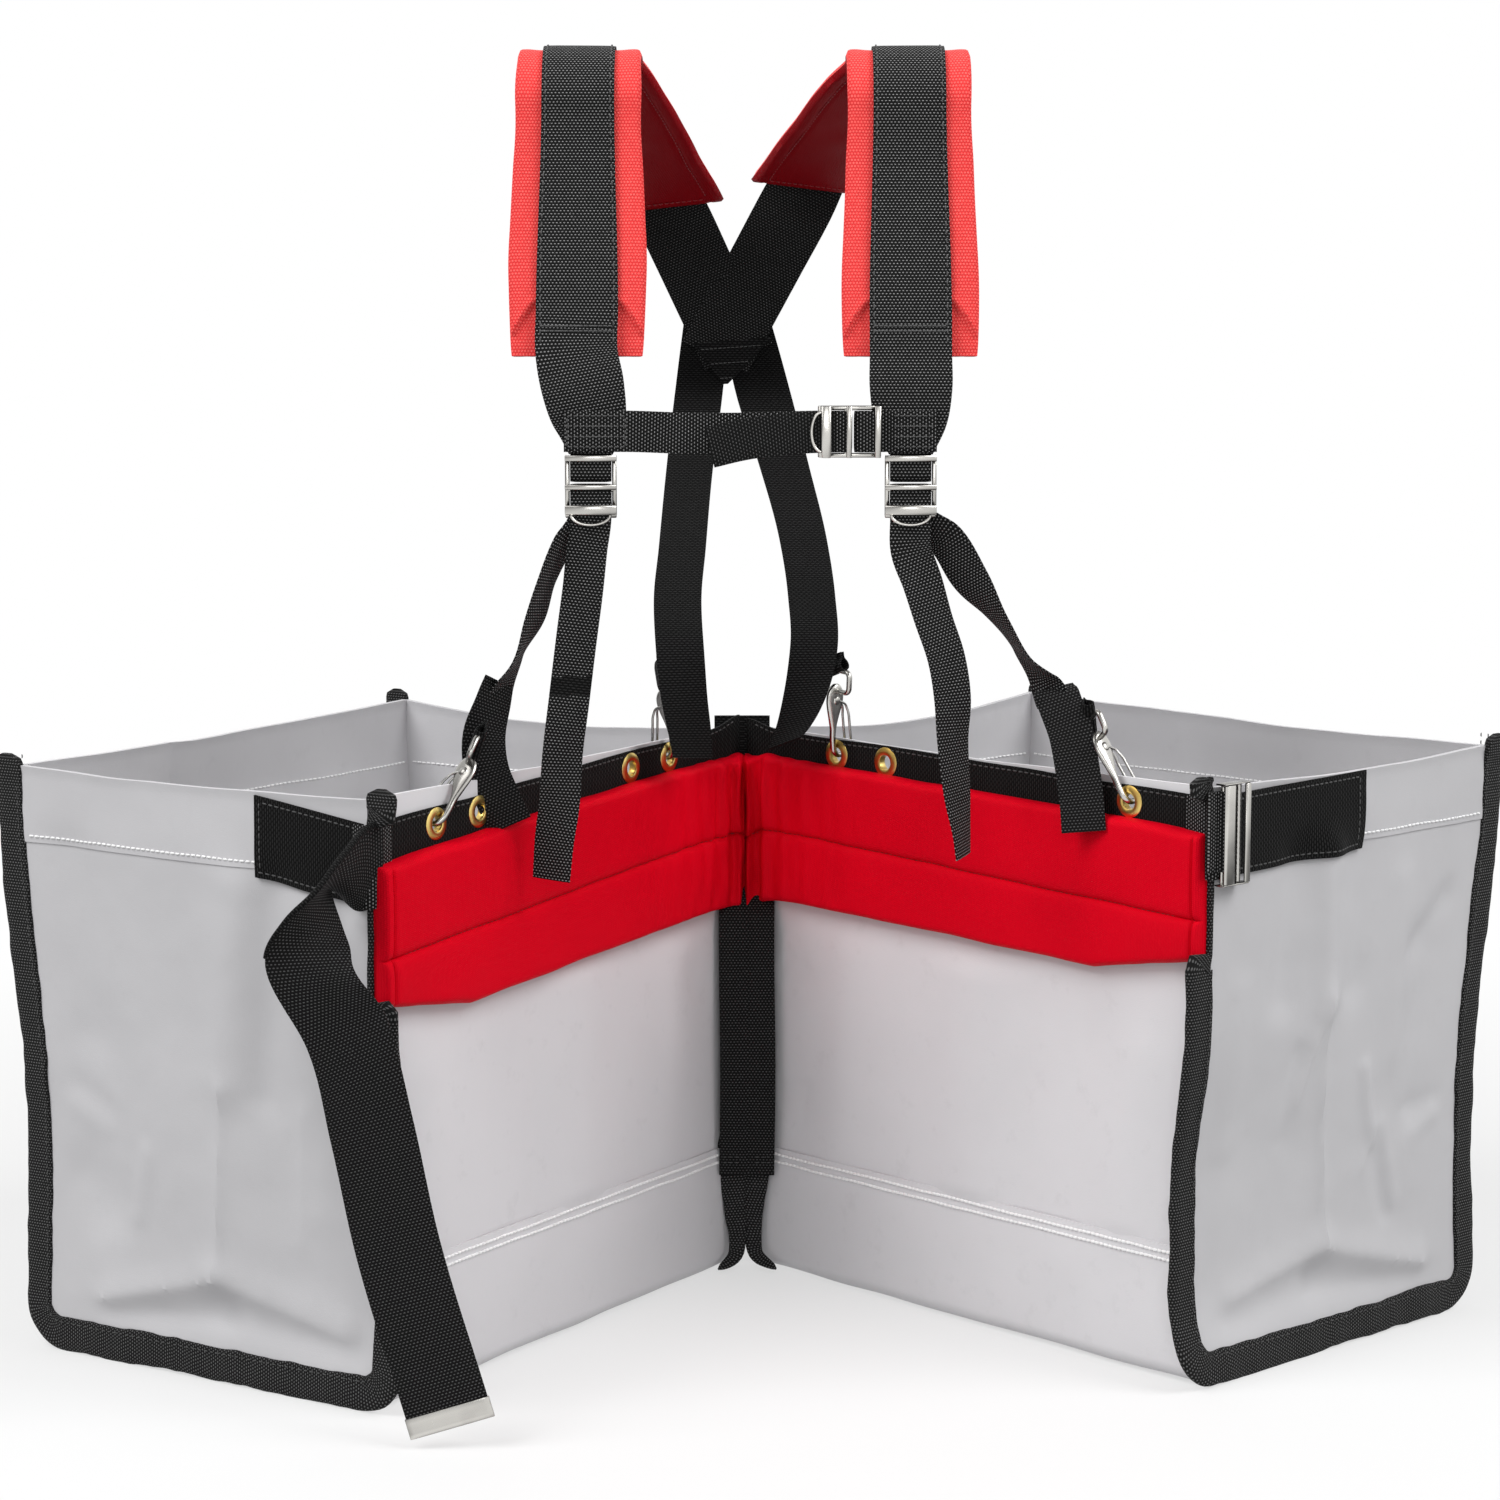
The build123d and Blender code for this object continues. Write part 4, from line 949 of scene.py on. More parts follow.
def makeBelt(side):
    body, place = side + "_bag", inBag(side)
    width = belt["high"] - belt["low"]
    u = np.linspace(*belt["ends"], 156)
    share = np.concatenate([np.linspace(0, 0.54, 14), np.linspace(0.58, 1, 12)])[:, None]
    rise = 0.8 * wander(u, 60, 8) + 5.5 * hump(u, -6, 20)
    z = belt["low"] + width * share - beltDrop(side, u) + rise * ease(2 * share - 0.6)
    uGrid = np.broadcast_to(u, z.shape)
    deep = belt["deep"] + 0.25 * ripple(uGrid, z, 40, 6)
    grids = [spots(uGrid, deep + lift, z) for lift in (-belt["thick"], belt["thick"])]
    strip = slabShell(*grids, np.stack([width * share + 0 * z, uGrid], axis=-1), grommetHoles(side, uGrid, z))
    # round the corner in front of the pressed fin, and back along the outer gusset
    cornerTop = belt["high"] - beltDrop(side, bag["width"])
    stations = [(along, deep, cornerTop - width / 2, 0, 0, 1) for along, deep in belt["corner"]]
    corner = webbingShell(stations, width, step=1.5, columns=13)
    seam, start = belt["patchStart"]
    end = seam + belt["patch"][side]
    v = np.linspace(start, end, 44)
    top = cornerTop + (belt["patchTop"] - cornerTop) * (v - seam) / belt["patch"][side]
    zPatch = top - width * np.linspace(0, 1, 15)[:, None]
    vPatch = np.broadcast_to(v, zPatch.shape)
    hem = bag["cloth"] + bag["hemLayer"]
    over, under = (panelPoint(side, "outer", vPatch, zPatch, hem + lift) for lift in belt["patchLift"])
    shells = [strip, slabShell(over, under, np.stack([zPatch, vPatch], axis=-1)), corner]
    nodes = [side + "_belt_band"]
    length = u[-1] - u[0] + runLength(stations) + end - start
    if side == "right":
        shells.append(buckleRing())
        nodes.append("buckle_strap")
        length += buckle["ringLength"]
    paint = [0 if i < 2 else 1 for i, shell in enumerate(shells) for face in shell[1]]
    piece = makePiece(side + "_belt_webbing", shells, ["ribbed", "webbing"], body, nodes, place, paint=paint)
    # sewn border of the patch and the row along the belt's top edge
    for line in (over[1, 2:-2], over[13, 2:-2], over[1:-1, 2], over[1:-1, 41]):
        sew(body, "patch", line, (1, 0, 0), place)
    sew(body, "belt", spots(u, belt["deep"] - belt["thick"], z[-1] - 2.6)[3:-3], (0, -1, 0), place)


# Padded hip belt: a flat foam strip with crisp edges, one sewn line along it and gathers at the fold
hipPad = {
    "end": 405.2,
    "top": {"left": (361.0, 0.062), "right": (361.8, 0.026)},
    "bottom": {"left": (256.0, 0.058), "right": (263.4, 0.022)},
    "seam": (0.505, 0.06),
    "back": 7.4,
    "deep": 10.0,
    "edge": 2.4,
    "rimRound": 4.5,
    "groove": (3.4, 1.6),
    "swell": 1.1,
    "cutFrom": {"left": 316.0, "right": 318.0},
    "cutRise": 17.0,
    "endFold": {"left": 8.5, "right": 5.5},
    "endRound": 3.0,
    "endGroove": (3.2, 0.9),
    # gathers at the fold: height, how far they reach and wave length
    "gather": (3.6, 36, 3.1),
    "pucker": (2.3, 65, 13),
    "crease": {"left": 0.0, "right": 3.0},
    "creaseAt": (16, 2.2),
    "tuck": 4.4,
    "sink": {"left": (5.5, 55.0), "right": (2.5, 14.0)},
    "hang": {"left": (7.0, 17.0), "right": (18.0, 12.0)},
    "seed": {"left": (41, 5), "right": (43, 8)},
}


def hipPadFront(side, u, t, upper):
    # the pad's face at a place along it and down its upper or lower half
    p = hipPad
    seed, crestSeed = p["seed"][side]
    sink, sinkReach = p["sink"][side]
    hang, hangReach = p["hang"][side]
    (topStart, topFall), (lowStart, lowFall) = p["top"][side], p["bottom"][side]
    fromFold, fromEnd = fade(u, 0, 4), p["end"] - u
    top = topStart - topFall * (u - belt["pivot"]) + 0.6 * wander(u, 40, 9)
    top = top + 2.4 * np.exp(-u / 34) * wander(u, 9, crestSeed) * fromFold - sink * np.exp(-u / sinkReach)
    low = lowStart - lowFall * (u - belt["pivot"]) - hang * np.exp(-u / hangReach)
    seam = top - (p["seam"][0] + p["seam"][1] * u / 400) * (top - low) + 0.5 * wander(u, 35, 2)
    cut = np.clip((u - p["cutFrom"][side]) / (p["end"] - p["cutFrom"][side]), 0, 1)
    low = low + p["cutRise"] * cut - 0.7 * wander(u, 30, 12)
    high, foot = (top, seam) if upper else (seam, low)
    tall = high - foot
    z = high - tall * t
    fromRim = (t if upper else 1 - t) * tall
    # rounded rim, sewn groove, a slight swell and the folded end
    turn = 1 - np.clip(fromRim / p["rimRound"], 0, 1)
    thick = p["edge"] + (p["deep"] - p["edge"]) * np.sqrt(1 - turn * turn)
    size, reach = p["groove"]
    thick = thick - size * np.exp(-np.abs(tall - fromRim) / reach)
    thick = thick + p["swell"] * np.sin(math.pi * np.clip(t, 0, 1)) ** 0.7
    fold = p["endFold"][side]
    turn = 1 - np.clip(fromEnd / p["endRound"], 0, 1)
    thick = p["edge"] + (thick - p["edge"]) * np.sqrt(1 - turn * turn)
    size, reach = p["endGroove"]
    thick = thick - size * np.exp(-np.abs(fromEnd - fold) / reach) * fade(fromRim, 0, 6)
    size, reach, wave = p["gather"]
    gathers = size * np.exp(-u / reach) * np.cos(u / wave + 0.8 * wander(z, 26, seed) + seed) * fromFold
    size, reach, wave = p["pucker"]
    gathers = gathers + size * np.exp(-u / reach) * ripple(u * 1.6, z * 0.5, wave, seed + 4)
    gathers = gathers - p["crease"][side] * hump(u - 0.02 * (z - 310), *p["creaseAt"])
    waves = 0.8 * ripple(u, z, 40, seed) + 0.3 * ripple(u, z * 0.4, 13, seed + 2) * np.exp(-u / 160)
    body = (0.25 + 0.75 * fade(fromRim, 0, 6)) * fade(fromEnd, fold, fold + 8)
    return z, thick + (gathers + waves) * body


def makeHipPad(side):
    p = hipPad
    u = np.concatenate([np.linspace(0, 60, 56), np.linspace(61.5, 388, 160), np.linspace(389, p["end"], 40)])
    rim, seam = [0, 0.006, 0.016, 0.035, 0.06, 0.09], [0.92, 0.95, 0.975, 0.99, 1.0]
    t = np.concatenate([rim, np.linspace(0.13, 0.87, 14), seam])
    uGrid, tGrid = np.meshgrid(u, t, indexing="ij")
    zUp, thickUp = hipPadFront(side, uGrid, tGrid, True)
    zLow, thickLow = hipPadFront(side, uGrid, (1 - t)[::-1] + 0 * uGrid, False)
    z = np.concatenate([zUp, zLow[:, 1:]], axis=1)
    thick = np.concatenate([thickUp, thickLow[:, 1:]], axis=1)
    face = spots(u[:, None], p["back"] - thick, z)
    rings = np.concatenate([face, spots(u[:, None], p["back"], z)[:, ::-4]], axis=1)
    # the two halves meet in the fold's middle plane, in front of the link strap
    mitre = math.tan(math.radians(bag["turn"][side]))
    rings[..., 0] -= np.minimum(rings[..., 1], p["tuck"]) * mitre * np.exp(-rings[..., 0] / 24)
    run = runTo(face[120])
    shell = loftShell(rings, np.concatenate([run, run[::-4]]))
    piece = makePiece(
        side + "_hip_padding", [shell], "red", side + "_bag", [side + "_hip_pad"], inBag(side), 50
    )
    groove = np.argmin(np.abs(u - (p["end"] - p["endFold"][side])))
    for line in (face[6:-42, len(t) - 1], face[groove, 4:-4]):
        sew(side + "_bag", "pad", line, (0, -1, 0), inBag(side))


ringFace = [
    (5.0, 2.0), (5.15, 2.6), (5.9, 2.95), (7.2, 2.95), (9.0, 2.7), (10.1, 2.2), (10.25, 1.9), (9.6, 1.75),
    (6.4, 1.7),
]


def makeGrommets(side):
    profile = [(r, -y) for r, y in ringFace] + ringFace[::-1]
    places = [(spot, grommet["deep"], grommetHeight(side, spot)) for spot in grommet["places"]]
    shells = [latheShell(profile, spot, (0, 1, 0)) for spot in places]
    makePiece(side + "_brass_rings", shells, "brass", side + "_bag", [side + "_grommets"], inBag(side), 30)


# Snap hooks: across the eye, through the hole and up, from the grommet's middle
hook = {
    "places": {"front": 341.0, "rear": 82.0},
    "arm": -5.35,
    "wire": 1.75,
    "rivet": 37.5,
    "loop": (3.4, 1.0),
    "tongueWire": 0.85,
    "tongueHalf": (1.9, 3.0),
    "tongueOpens": (34, 26),
}
hookEye = {"half": 14.6, "low": 44.0, "high": 58.0, "radius": 3.6}
hookPose = {
    # degrees of tilt and yaw, and the webbing loop's length, shift and tilt
    ("left", "front"): {"tilt": 40.0, "yaw": -34.0, "length": 12.0, "shift": 0.0, "loopTilt": 30.0},
    ("left", "rear"): {"tilt": -14.0, "yaw": -36.0, "length": 9.0, "shift": 0.0, "loopTilt": -20.0},
    ("right", "front"): {"tilt": 30.0, "yaw": -28.0, "length": 8.0, "shift": -5.0, "loopTilt": 46.0},
    ("right", "rear"): {"tilt": -3.0, "yaw": -8.0, "length": 9.0, "shift": -3.0, "loopTilt": 22.0},
}
hookBody = [
    # through, up, half thickness along the belt, half width
    (-5.4, 48.6, 1.5, 2.2), (-5.4, 46.8, 2.2, 4.4), (-5.6, 43.4, 2.4, 6.6), (-5.9, 38.0, 2.4, 7.4),
    (-6.2, 32.0, 2.4, 6.2), (-6.5, 25.0, 2.2, 4.0), (-6.5, 19.0, 2.0, 2.4), (-6.2, 10.0, 1.95, 2.0),
    (-4.7, 3.4, 1.9, 1.9), (-1.8, 0.3, 1.9, 1.9), (2.0, 0.0, 1.9, 1.9), (5.0, 0.3, 1.8, 1.8),
    (6.5, 1.9, 1.6, 1.6), (6.7, 4.3, 0.9, 0.9),
]
tongueLine = [
    (-3.4, 37.0), (-0.6, 36.0), (2.4, 34.4), (4.2, 31.0), (5.6, 24.0), (7.6, 13.0), (9.8, 5.0),
    (11.6, 2.4), (13.4, 2.2), (14.6, 4.4),
]
rivetDome = [
    (0.01, 3.35), (1.2, 3.3), (2.2, 3.0), (2.9, 2.5), (3.0, 2.25), (1.5, 2.2), (1.5, 0.0), (0.01, 0.0),
]


def onHook(side, which):
    spot = hook["places"][which]

    def place(points):
        x, y, z = np.moveaxis(np.asarray(points, float), -1, 0)
        along, high = spin(x, z, hookPose[side, which]["tilt"])
        return inBag(side)(spots(spot + along, grommet["deep"] + y, grommetHeight(side, spot) + high))

    return place


def eyeLine(yaw):
    # a rounded rectangle, turned about the hook's length
    e = hookEye
    points = []
    for quarter, (x, z) in enumerate([(1, 1), (-1, 1), (-1, -1), (1, -1)]):
        cx = x * (e["half"] - e["radius"])
        cz = (e["low"] + e["high"]) / 2 + z * ((e["high"] - e["low"]) / 2 - e["radius"])
        for turn in np.radians(np.linspace(90 * quarter, 90 * quarter + 90, 6)):
            points.append((cx + e["radius"] * math.cos(turn), cz + e["radius"] * math.sin(turn)))
    across, high = np.array(points).T
    x, y = spin(across, 0.0, yaw)
    return spots(x, hook["arm"] + y, high)


def makeHook(side, which):
    place, yaw, hookName = onHook(side, which), hookPose[side, which]["yaw"], side + "_" + which
    rows = smoothRun([(0, y, z, wide, thick) for y, z, wide, thick in hookBody], 1.2)
    across = np.array([1.0, 0, 0])
    sections = [roundSection(wide, thick, 2.4, 18) for wide, thick in rows[:, 3:5]]
    sections[0] = sections[0] * 0.8
    sections[-1] = sections[-1] * 0.55
    facing = np.cross(unit(np.gradient(rows[:, :3], axis=0)), across)
    body = loftShell(sectionAlong(rows[:, :3], across, facing, sections))
    eye = wireShell(eyeLine(yaw), hook["wire"], (*spin(0.0, 1.0, yaw), 0), closed=True, flat=1.1)
    makePiece(hookName + "_hook_body", [body, eye], "nickel", side + "_bag", [hookName + "_hook"], place, 50)
    # the spring is one bent wire, down and back, closed round the thumb curl
    strip = smoothRun([(0, y, z) for y, z in tongueLine], 0.9)
    narrow, broad = hook["tongueHalf"]
    wide = narrow + (broad - narrow) * fade(strip[:, 2], *hook["tongueOpens"])
    turns = np.linspace(0.35, 2.8, 8)[:, None]
    curl = strip[-1] + across * wide[-1] * np.cos(turns) + (strip[-1] - strip[-2]) * 1.8 * np.sin(turns)
    down, back = strip + wide[:, None] * across, strip - wide[:, None] * across
    tongue = tubeShell(np.concatenate([down, curl, back[::-1]]), hook["tongueWire"], 8)
    makePiece(hookName + "_spring", [tongue], "steel", hookName + "_snap", [hookName + "_tongue"], place, 50)


def loopShell(side, which):
    # webbing through the hook's eye, which closes to two flat layers just above the eye's bar
    pose = hookPose[side, which]
    radius, layer = hook["loop"]
    turn = np.linspace(-0.15 * math.pi, -0.85 * math.pi, 11)
    under = [(radius * math.cos(a), radius * math.sin(a)) for a in turn]
    closing = [(2.6, 2.4), (layer, min(6.5, pose["length"] * 0.5)), (layer, pose["length"])]
    route = closing[::-1] + under + [(-a, b) for a, b in closing]
    points, faces, flat = webbingShell([(0, a, b, 1, 0, 0) for a, b in route], strapWidth, step=1.5)
    x, z = spin(points[:, 0], points[:, 2], pose["loopTilt"])
    x, y = spin(x + pose["shift"], points[:, 1], pose["yaw"])
    return onHook(side, which)(spots(x, hook["arm"] + y, hookEye["high"] + z)), faces, flat


def makeHookFittings(side):
    rivets, loops = [], []
    for which in hook["places"]:
        makeHook(side, which)
        for way in (-1, 1):
            head = (0, hook["arm"] - 0.6, hook["rivet"])
            points, faces, flat = latheShell(rivetDome, head, (way, 0, 0), 24)
            rivets.append((onHook(side, which)(points), faces, flat))
        loops.append(loopShell(side, which))
    makePiece(side + "_rivet_heads", rivets, "nickel", side + "_bag", [side + "_hook_rivets"], None, 50)
    piece = makePiece(side + "_hook_webbing", loops, "ribbed", side + "_bag", [side + "_hook_loops"])


# Buckle on the right bag's corner: box frame with a roller bar
buckle = {
    "inner": 408.2,
    "outer": 416.0,
    "place": 10.0,
    "far": 34.0,
    "low": 321.0,
    "high": 382.5,
    "wall": 1.3,
    "pin": (3.7, 2.7, 3.0),
    "ring": (2.6, 50.0),
    "ringLength": 50.0,
    "roller": 27.0,
    "rib": (1.45, 0.22),
    "plateStart": 8.0,
    # face strips: middle from the near or far end, width
    "nearStrip": (5.4, 10.4),
    "farStrip": (1.6, 5.2),
    "stripThick": 2.6,
}


def buckleRing():
    # the belt strap's turn round the buckle's pin
    b = buckle
    radius, width = b["ring"]
    along, deep = b["inner"] + b["pin"][0], b["place"] + b["pin"][1]
    turn = np.linspace(-0.5 * math.pi, 0.5 * math.pi, 9)
    route = [(409.0, 1.0), (410.0, 3.0)]
    route += [(along + radius * math.cos(a), deep + radius * math.sin(a)) for a in turn]
    route += [(410.8, 5.0), (410.6, 1.0)]
    middle = (belt["low"] + belt["high"]) / 2
    return webbingShell([(a, d, middle, 0, 0, 1) for a, d in route], width, step=2.0, columns=11)


def makeBuckle():
    b = buckle
    low, high, inner, outer, near, far = (b[key] for key in ("low", "high", "inner", "outer", "place", "far"))
    middle = (inner + outer) / 2
    shells = []
    for z in (low - 0.6, high + 0.6):
        shells.append(barShell((middle, near, z), (middle, far, z), (1, 0, 0), outer - inner, b["wall"]))
    # back plate, two rounded strips with the roller between them, and the pin
    along, deep, pin = b["pin"]
    plate = near + b["plateStart"]
    (nearMiddle, nearWide), (farMiddle, farWide) = b["nearStrip"], b["farStrip"]
    for spot, way, wide, thick, power in (
        ((inner + b["wall"] / 2, (plate + far) / 2), (0, 1, 0), far - plate, b["wall"], 4.0),
        ((outer - 0.5, near + nearMiddle), (0, 1, 0), nearWide, b["stripThick"], 2.3),
        ((outer - 0.5, far - farMiddle), (0, 1, 0), farWide, b["stripThick"], 2.3),
        ((inner + along, near + deep), (1, 0, 0), pin, pin, 2.0),
    ):
        shells.append(barShell((*spot, low), (*spot, high), way, wide, thick, power))
    makePiece("buckle_box", shells, "nickel", "right_bag", ["buckle_frame"], inBag("right"), 45)
    # knurled roller: ribs round the bar, broken into rows
    z = np.linspace(low + 0.6, high - 0.6, 84)[:, None]
    turn = np.linspace(0, 2 * math.pi, 36, endpoint=False)
    r = b["rib"][0] + b["rib"][1] * (0.5 + 0.5 * np.cos(12 * turn + 1.9 * (z - low)))
    rings = spots(middle + r * np.cos(turn), b["roller"] + r * np.sin(turn), z)
    shell = loftShell(rings)
    makePiece("buckle_roller", [shell], "nickel", "buckle_slider", ["buckle_bar"], inBag("right"), 60)


# Guard flaps on the wearer's side of the front hooks; stations are a place and the way across
guardWidth = 28.0
guards = {
    "left": [
        (-152.5, -233.5, 440, 0.60, 0.78, 0), (-156.0, -237.0, 428, 0.72, 0.66, 0),
        (-162.0, -241.0, 405, 0.92, 0.36, 0), (-160.5, -243.0, 386, 0.97, 0.18, 0.06),
        (-153.0, -242.0, 366, 0.98, 0.10, 0.06), (-146.0, -239.5, 350, 0.98, 0.05, 0.02),
    ],
    "right": [
        (194.5, -209.5, 433, 0.98, -0.16, -0.16), (196.5, -213.5, 430, 0.98, -0.18, -0.14),
        (199.0, -217.5, 423, 0.98, -0.20, -0.10), (204.5, -223.5, 408, 0.98, -0.20, -0.02),
        (208.5, -230.5, 387, 0.97, -0.22, 0.03), (211.5, -237.0, 362, 0.96, -0.25, 0.08),
        (212.5, -240.5, 346, 0.96, -0.25, 0.10),
    ],
}


def makeGuard(side):
    shell = webbingShell(guards[side], guardWidth, step=2.5, crown=0.6)
    # the guard takes the webbing painted darker as shade
    piece = makePiece(side + "_guard_flap", [shell], "tailWebbing", side + "_bag", [side + "_hook_guard"])
    flatSize(guardWidth, runLength(guards[side]))


# Shoulder harness
shoulder = {
    "x": 103.0,
    "lowX": {"left": -94.5, "right": 103.0},
    "lowWidth": (27.0, 42.0),
    "front": -240.0,
    "low": (581.7, 597.0),
    "bend": 621.4,
    "padLow": (643.0, 671.0),
    "bendFront": -200.0,
    "bendRun": 40.0,
    "bendHeight": 790.0,
    "top": 833.0,
    "turn": 117.0,
    "rear": 35.0,
    "rearX": {"left": 55.0, "right": 45.0},
    "rearHeight": {"left": 740.0, "right": 753.0},
    "cross": (-12.0, 72.0, 647.0),
    "lead": 20.0,
    "tail": 19.0,
    "layer": {"left": 0.95, "right": -0.95},
    "narrow": 0.11,
    "columns": 13,
}
shoulderPad = {
    "half": 42.0,
    "endHalf": 40.5,
    "inset": 5.6,
    "over": 3.4,
    "under": 4.4,
    "rim": 2.6,
    "hem": 9.5,
    "fold": (33.0, 24.0),
    "step": 2.2,
    "narrow": 0.07,
    "webSeam": 22.6,
    "columns": 57,
    "seed": {"left": 51, "right": 57},
}


def shoulderStations(side):
    # middle of the shoulder webbing: up the front, round the bend and down a straight slope
    s = shoulder
    x, low, front = sides[side] * s["x"], s["lowX"][side], s["front"]
    points = [(low, front, height) for height in s["low"]] + [((x + low) / 2, front, s["bend"])]
    for height in s["padLow"]:
        share = (height - s["bend"]) / (s["bendHeight"] - s["bend"])
        points.append((x, front + share * (s["bendFront"] - front), height))
    for turn in np.radians(s["turn"] * np.arange(7) / 6):
        deep = s["bendFront"] + s["bendRun"] * (1 - math.cos(turn))
        points.append((x, deep, s["bendHeight"] + (s["top"] - s["bendHeight"]) * math.sin(turn)))
    crest = np.array(points[-1])
    rear = np.array([sides[side] * s["rearX"][side], s["rear"], s["rearHeight"][side]])
    return np.concatenate([points, crest + (rear - crest) * np.arange(1, 5)[:, None] / 4])


def levelAcross(line):
    along = unit(np.gradient(line, axis=0))
    right = np.array([1.0, 0, 0])
    return along, unit(right - along * (along @ right)[:, None])


def overTop(line):
    # how far up the bend a place is, fading down the back
    return fade(line[:, 2], 690, 800) * (1 - fade(line[:, 1], -150, -60))


def makeShoulder(side):
    s = shoulder
    points = shoulderStations(side)
    cross = np.array(s["cross"])
    endWay = unit(cross - points[-1])
    endAcross = unit(np.array([1.0, 0, 0]) - endWay * endWay[0])
    stack = np.cross(endAcross, endWay) * s["layer"][side]
    tail = [points[-1] + endWay * s["lead"], (points[-1] + cross) / 2, cross + endWay * s["tail"]]
    full = np.concatenate([points, np.add(tail, stack)])
    across = levelAcross(full)[1]
    across[-3:] = endAcross
    wide = webWidth * (1 - s["narrow"] * overTop(full))
    wide[:2] = s["lowWidth"]
    stations = np.concatenate([full, across, wide[:, None]], axis=1)
    shell = webbingShell(stations, webWidth, step=4.0, columns=s["columns"])
    # its inner face takes the webbing painted darker as shade
    piece = makePiece(
        side + "_shoulder_web", [shell], ["webbing", "tailWebbing"], "harness", [side + "_shoulder_webbing"],
        paint=underFaces(shell, s["columns"]),
    )
    flatSize(webWidth, runLength(stations))
    makeShoulderPad(side, smoothRun(points[3:], 1.6))


def makeShoulderPad(side, rows):
    # pad under the webbing, with rolled edges and folded lower corners
    p = shoulderPad
    along, across = levelAcross(rows)
    facing = np.cross(across, along)
    top = overTop(rows)[:, None]
    run = runTo(rows)[:, None]
    length = run[-1, 0]
    seed = p["seed"][side]
    share = np.linspace(-1, 1, p["columns"])
    half = p["half"] - (p["half"] - p["endHalf"]) * np.exp(-run / 12) + 0.8 * wander(run, 40, seed)
    half = half * (1 - p["narrow"] * top)
    body = np.abs(share) * half
    rim = np.sqrt(1 - np.clip((body - half) / p["rim"] + 1, 0, 1) ** 2)
    thin = (0.45 + 0.55 * np.minimum(fade(run, 0, 7), fade(run, length, length - 7))) * rim
    # the face cloth ends in a curved fold above the lower corners
    high, drop = p["fold"]
    arc = high - drop * np.clip((body - webWidth / 2) / 16.6, 0, 1.2) ** 1.4
    flap = ease((arc - run) / 1.6 + 0.5) * fade(body, 22, 25)
    puff = 0.7 * hump(body, 33.5, 6.0) * (1 - flap) + 0.5 * hump(run, arc + 2.5, 2.5)
    upper = (p["over"] + puff - p["step"] * flap) * thin
    waves = 0.5 * ripple(run + 0 * body, body * np.sign(share), 28, seed)
    lower = (p["under"] - 1.1 * hump(body, half - p["hem"], 1.4) + waves) * thin
    place = half * share
    inner = rows - facing * p["inset"]
    spread = inner[:, None] + across[:, None] * place[:, :, None]
    over = spread + facing[:, None] * upper[:, :, None]
    under = spread - facing[:, None] * lower[:, :, None]
    rings, places = (np.concatenate([a, b[:, ::-1]], axis=1) for a, b in ((over, under), (place, place)))
    shell = loftShell(rings, places)
    # the face is painted lighter red as light, the underside painted dark red as shade
    piece = makePiece(
        side + "_shoulder_padding", [shell], ["paintedLitRed", "lining"], "harness", [side + "_shoulder_pad"],
        sharp=55, paint=underFaces(shell, p["columns"]),
    )
    # hem of the lining
    hem = half - p["hem"]
    lowest = lower[:, [np.argmin(np.abs(share - 0.77))]]
    for way in (-1, 1):
        sew("harness", "lining", (inner + across * way * hem - facing * lowest)[8:-8], -facing[8:-8])
    end = len(rows) - 8
    line = inner[end] + across[end] * np.linspace(-hem[end], hem[end], 20) - facing[end] * p["under"]
    sew("harness", "lining", line, -facing[end])
    # sewn rows along the webbing's edges on the pad, and across its lower end
    face = rows + facing * 0.85
    seam = p["webSeam"] * (1 - shoulder["narrow"] * top)
    for way in (-1, 1):
        sew("harness", "edge", (face + across * way * seam)[4:-4], facing[4:-4])
    for spot in (9, 11):
        sew("harness", "padEnd", face[spot] + across[spot] * np.linspace(-23, 23, 16)[:, None], facing[spot])


# Ladder adjusters hang from their round bar, with the frame down from it
adjuster = {
    "bar": 2.6,
    "half": 15.25,
    "rail": 2.9,
    "thick": 2.4,
    "length": 36.0,
    "middle": 19.0,
    "endBar": (5.0, 4.0),
    "over": 0.6,
    "bow": (12.0, 6.0, 1.0),
    # low, high and front
    "plates": [(-1.4, 2.4, -4.6), (-18.9, -15.6, -5.4), (-34.2, -28.4, -6.6)],
    "height": 579.0,
}
sternumBar = np.array([82.0, -244.2, 596.0])
anchorLoop = [(6.0, 2.5), (-4.0, 2.4), (-11.8, 1.7), (-13.6, 0.0), (-12.0, -1.7), (-5.0, -2.6), (2.0, -2.9)]
boxLevels = (586.5, 605.5)


def adjusterPlace(which):
    if which == "sternum":
        return lambda p: spots(p[..., 2], p[..., 1], -p[..., 0]) + sternumBar
    return lambda p: p + (shoulder["lowX"][which], shoulder["front"], adjuster["height"])


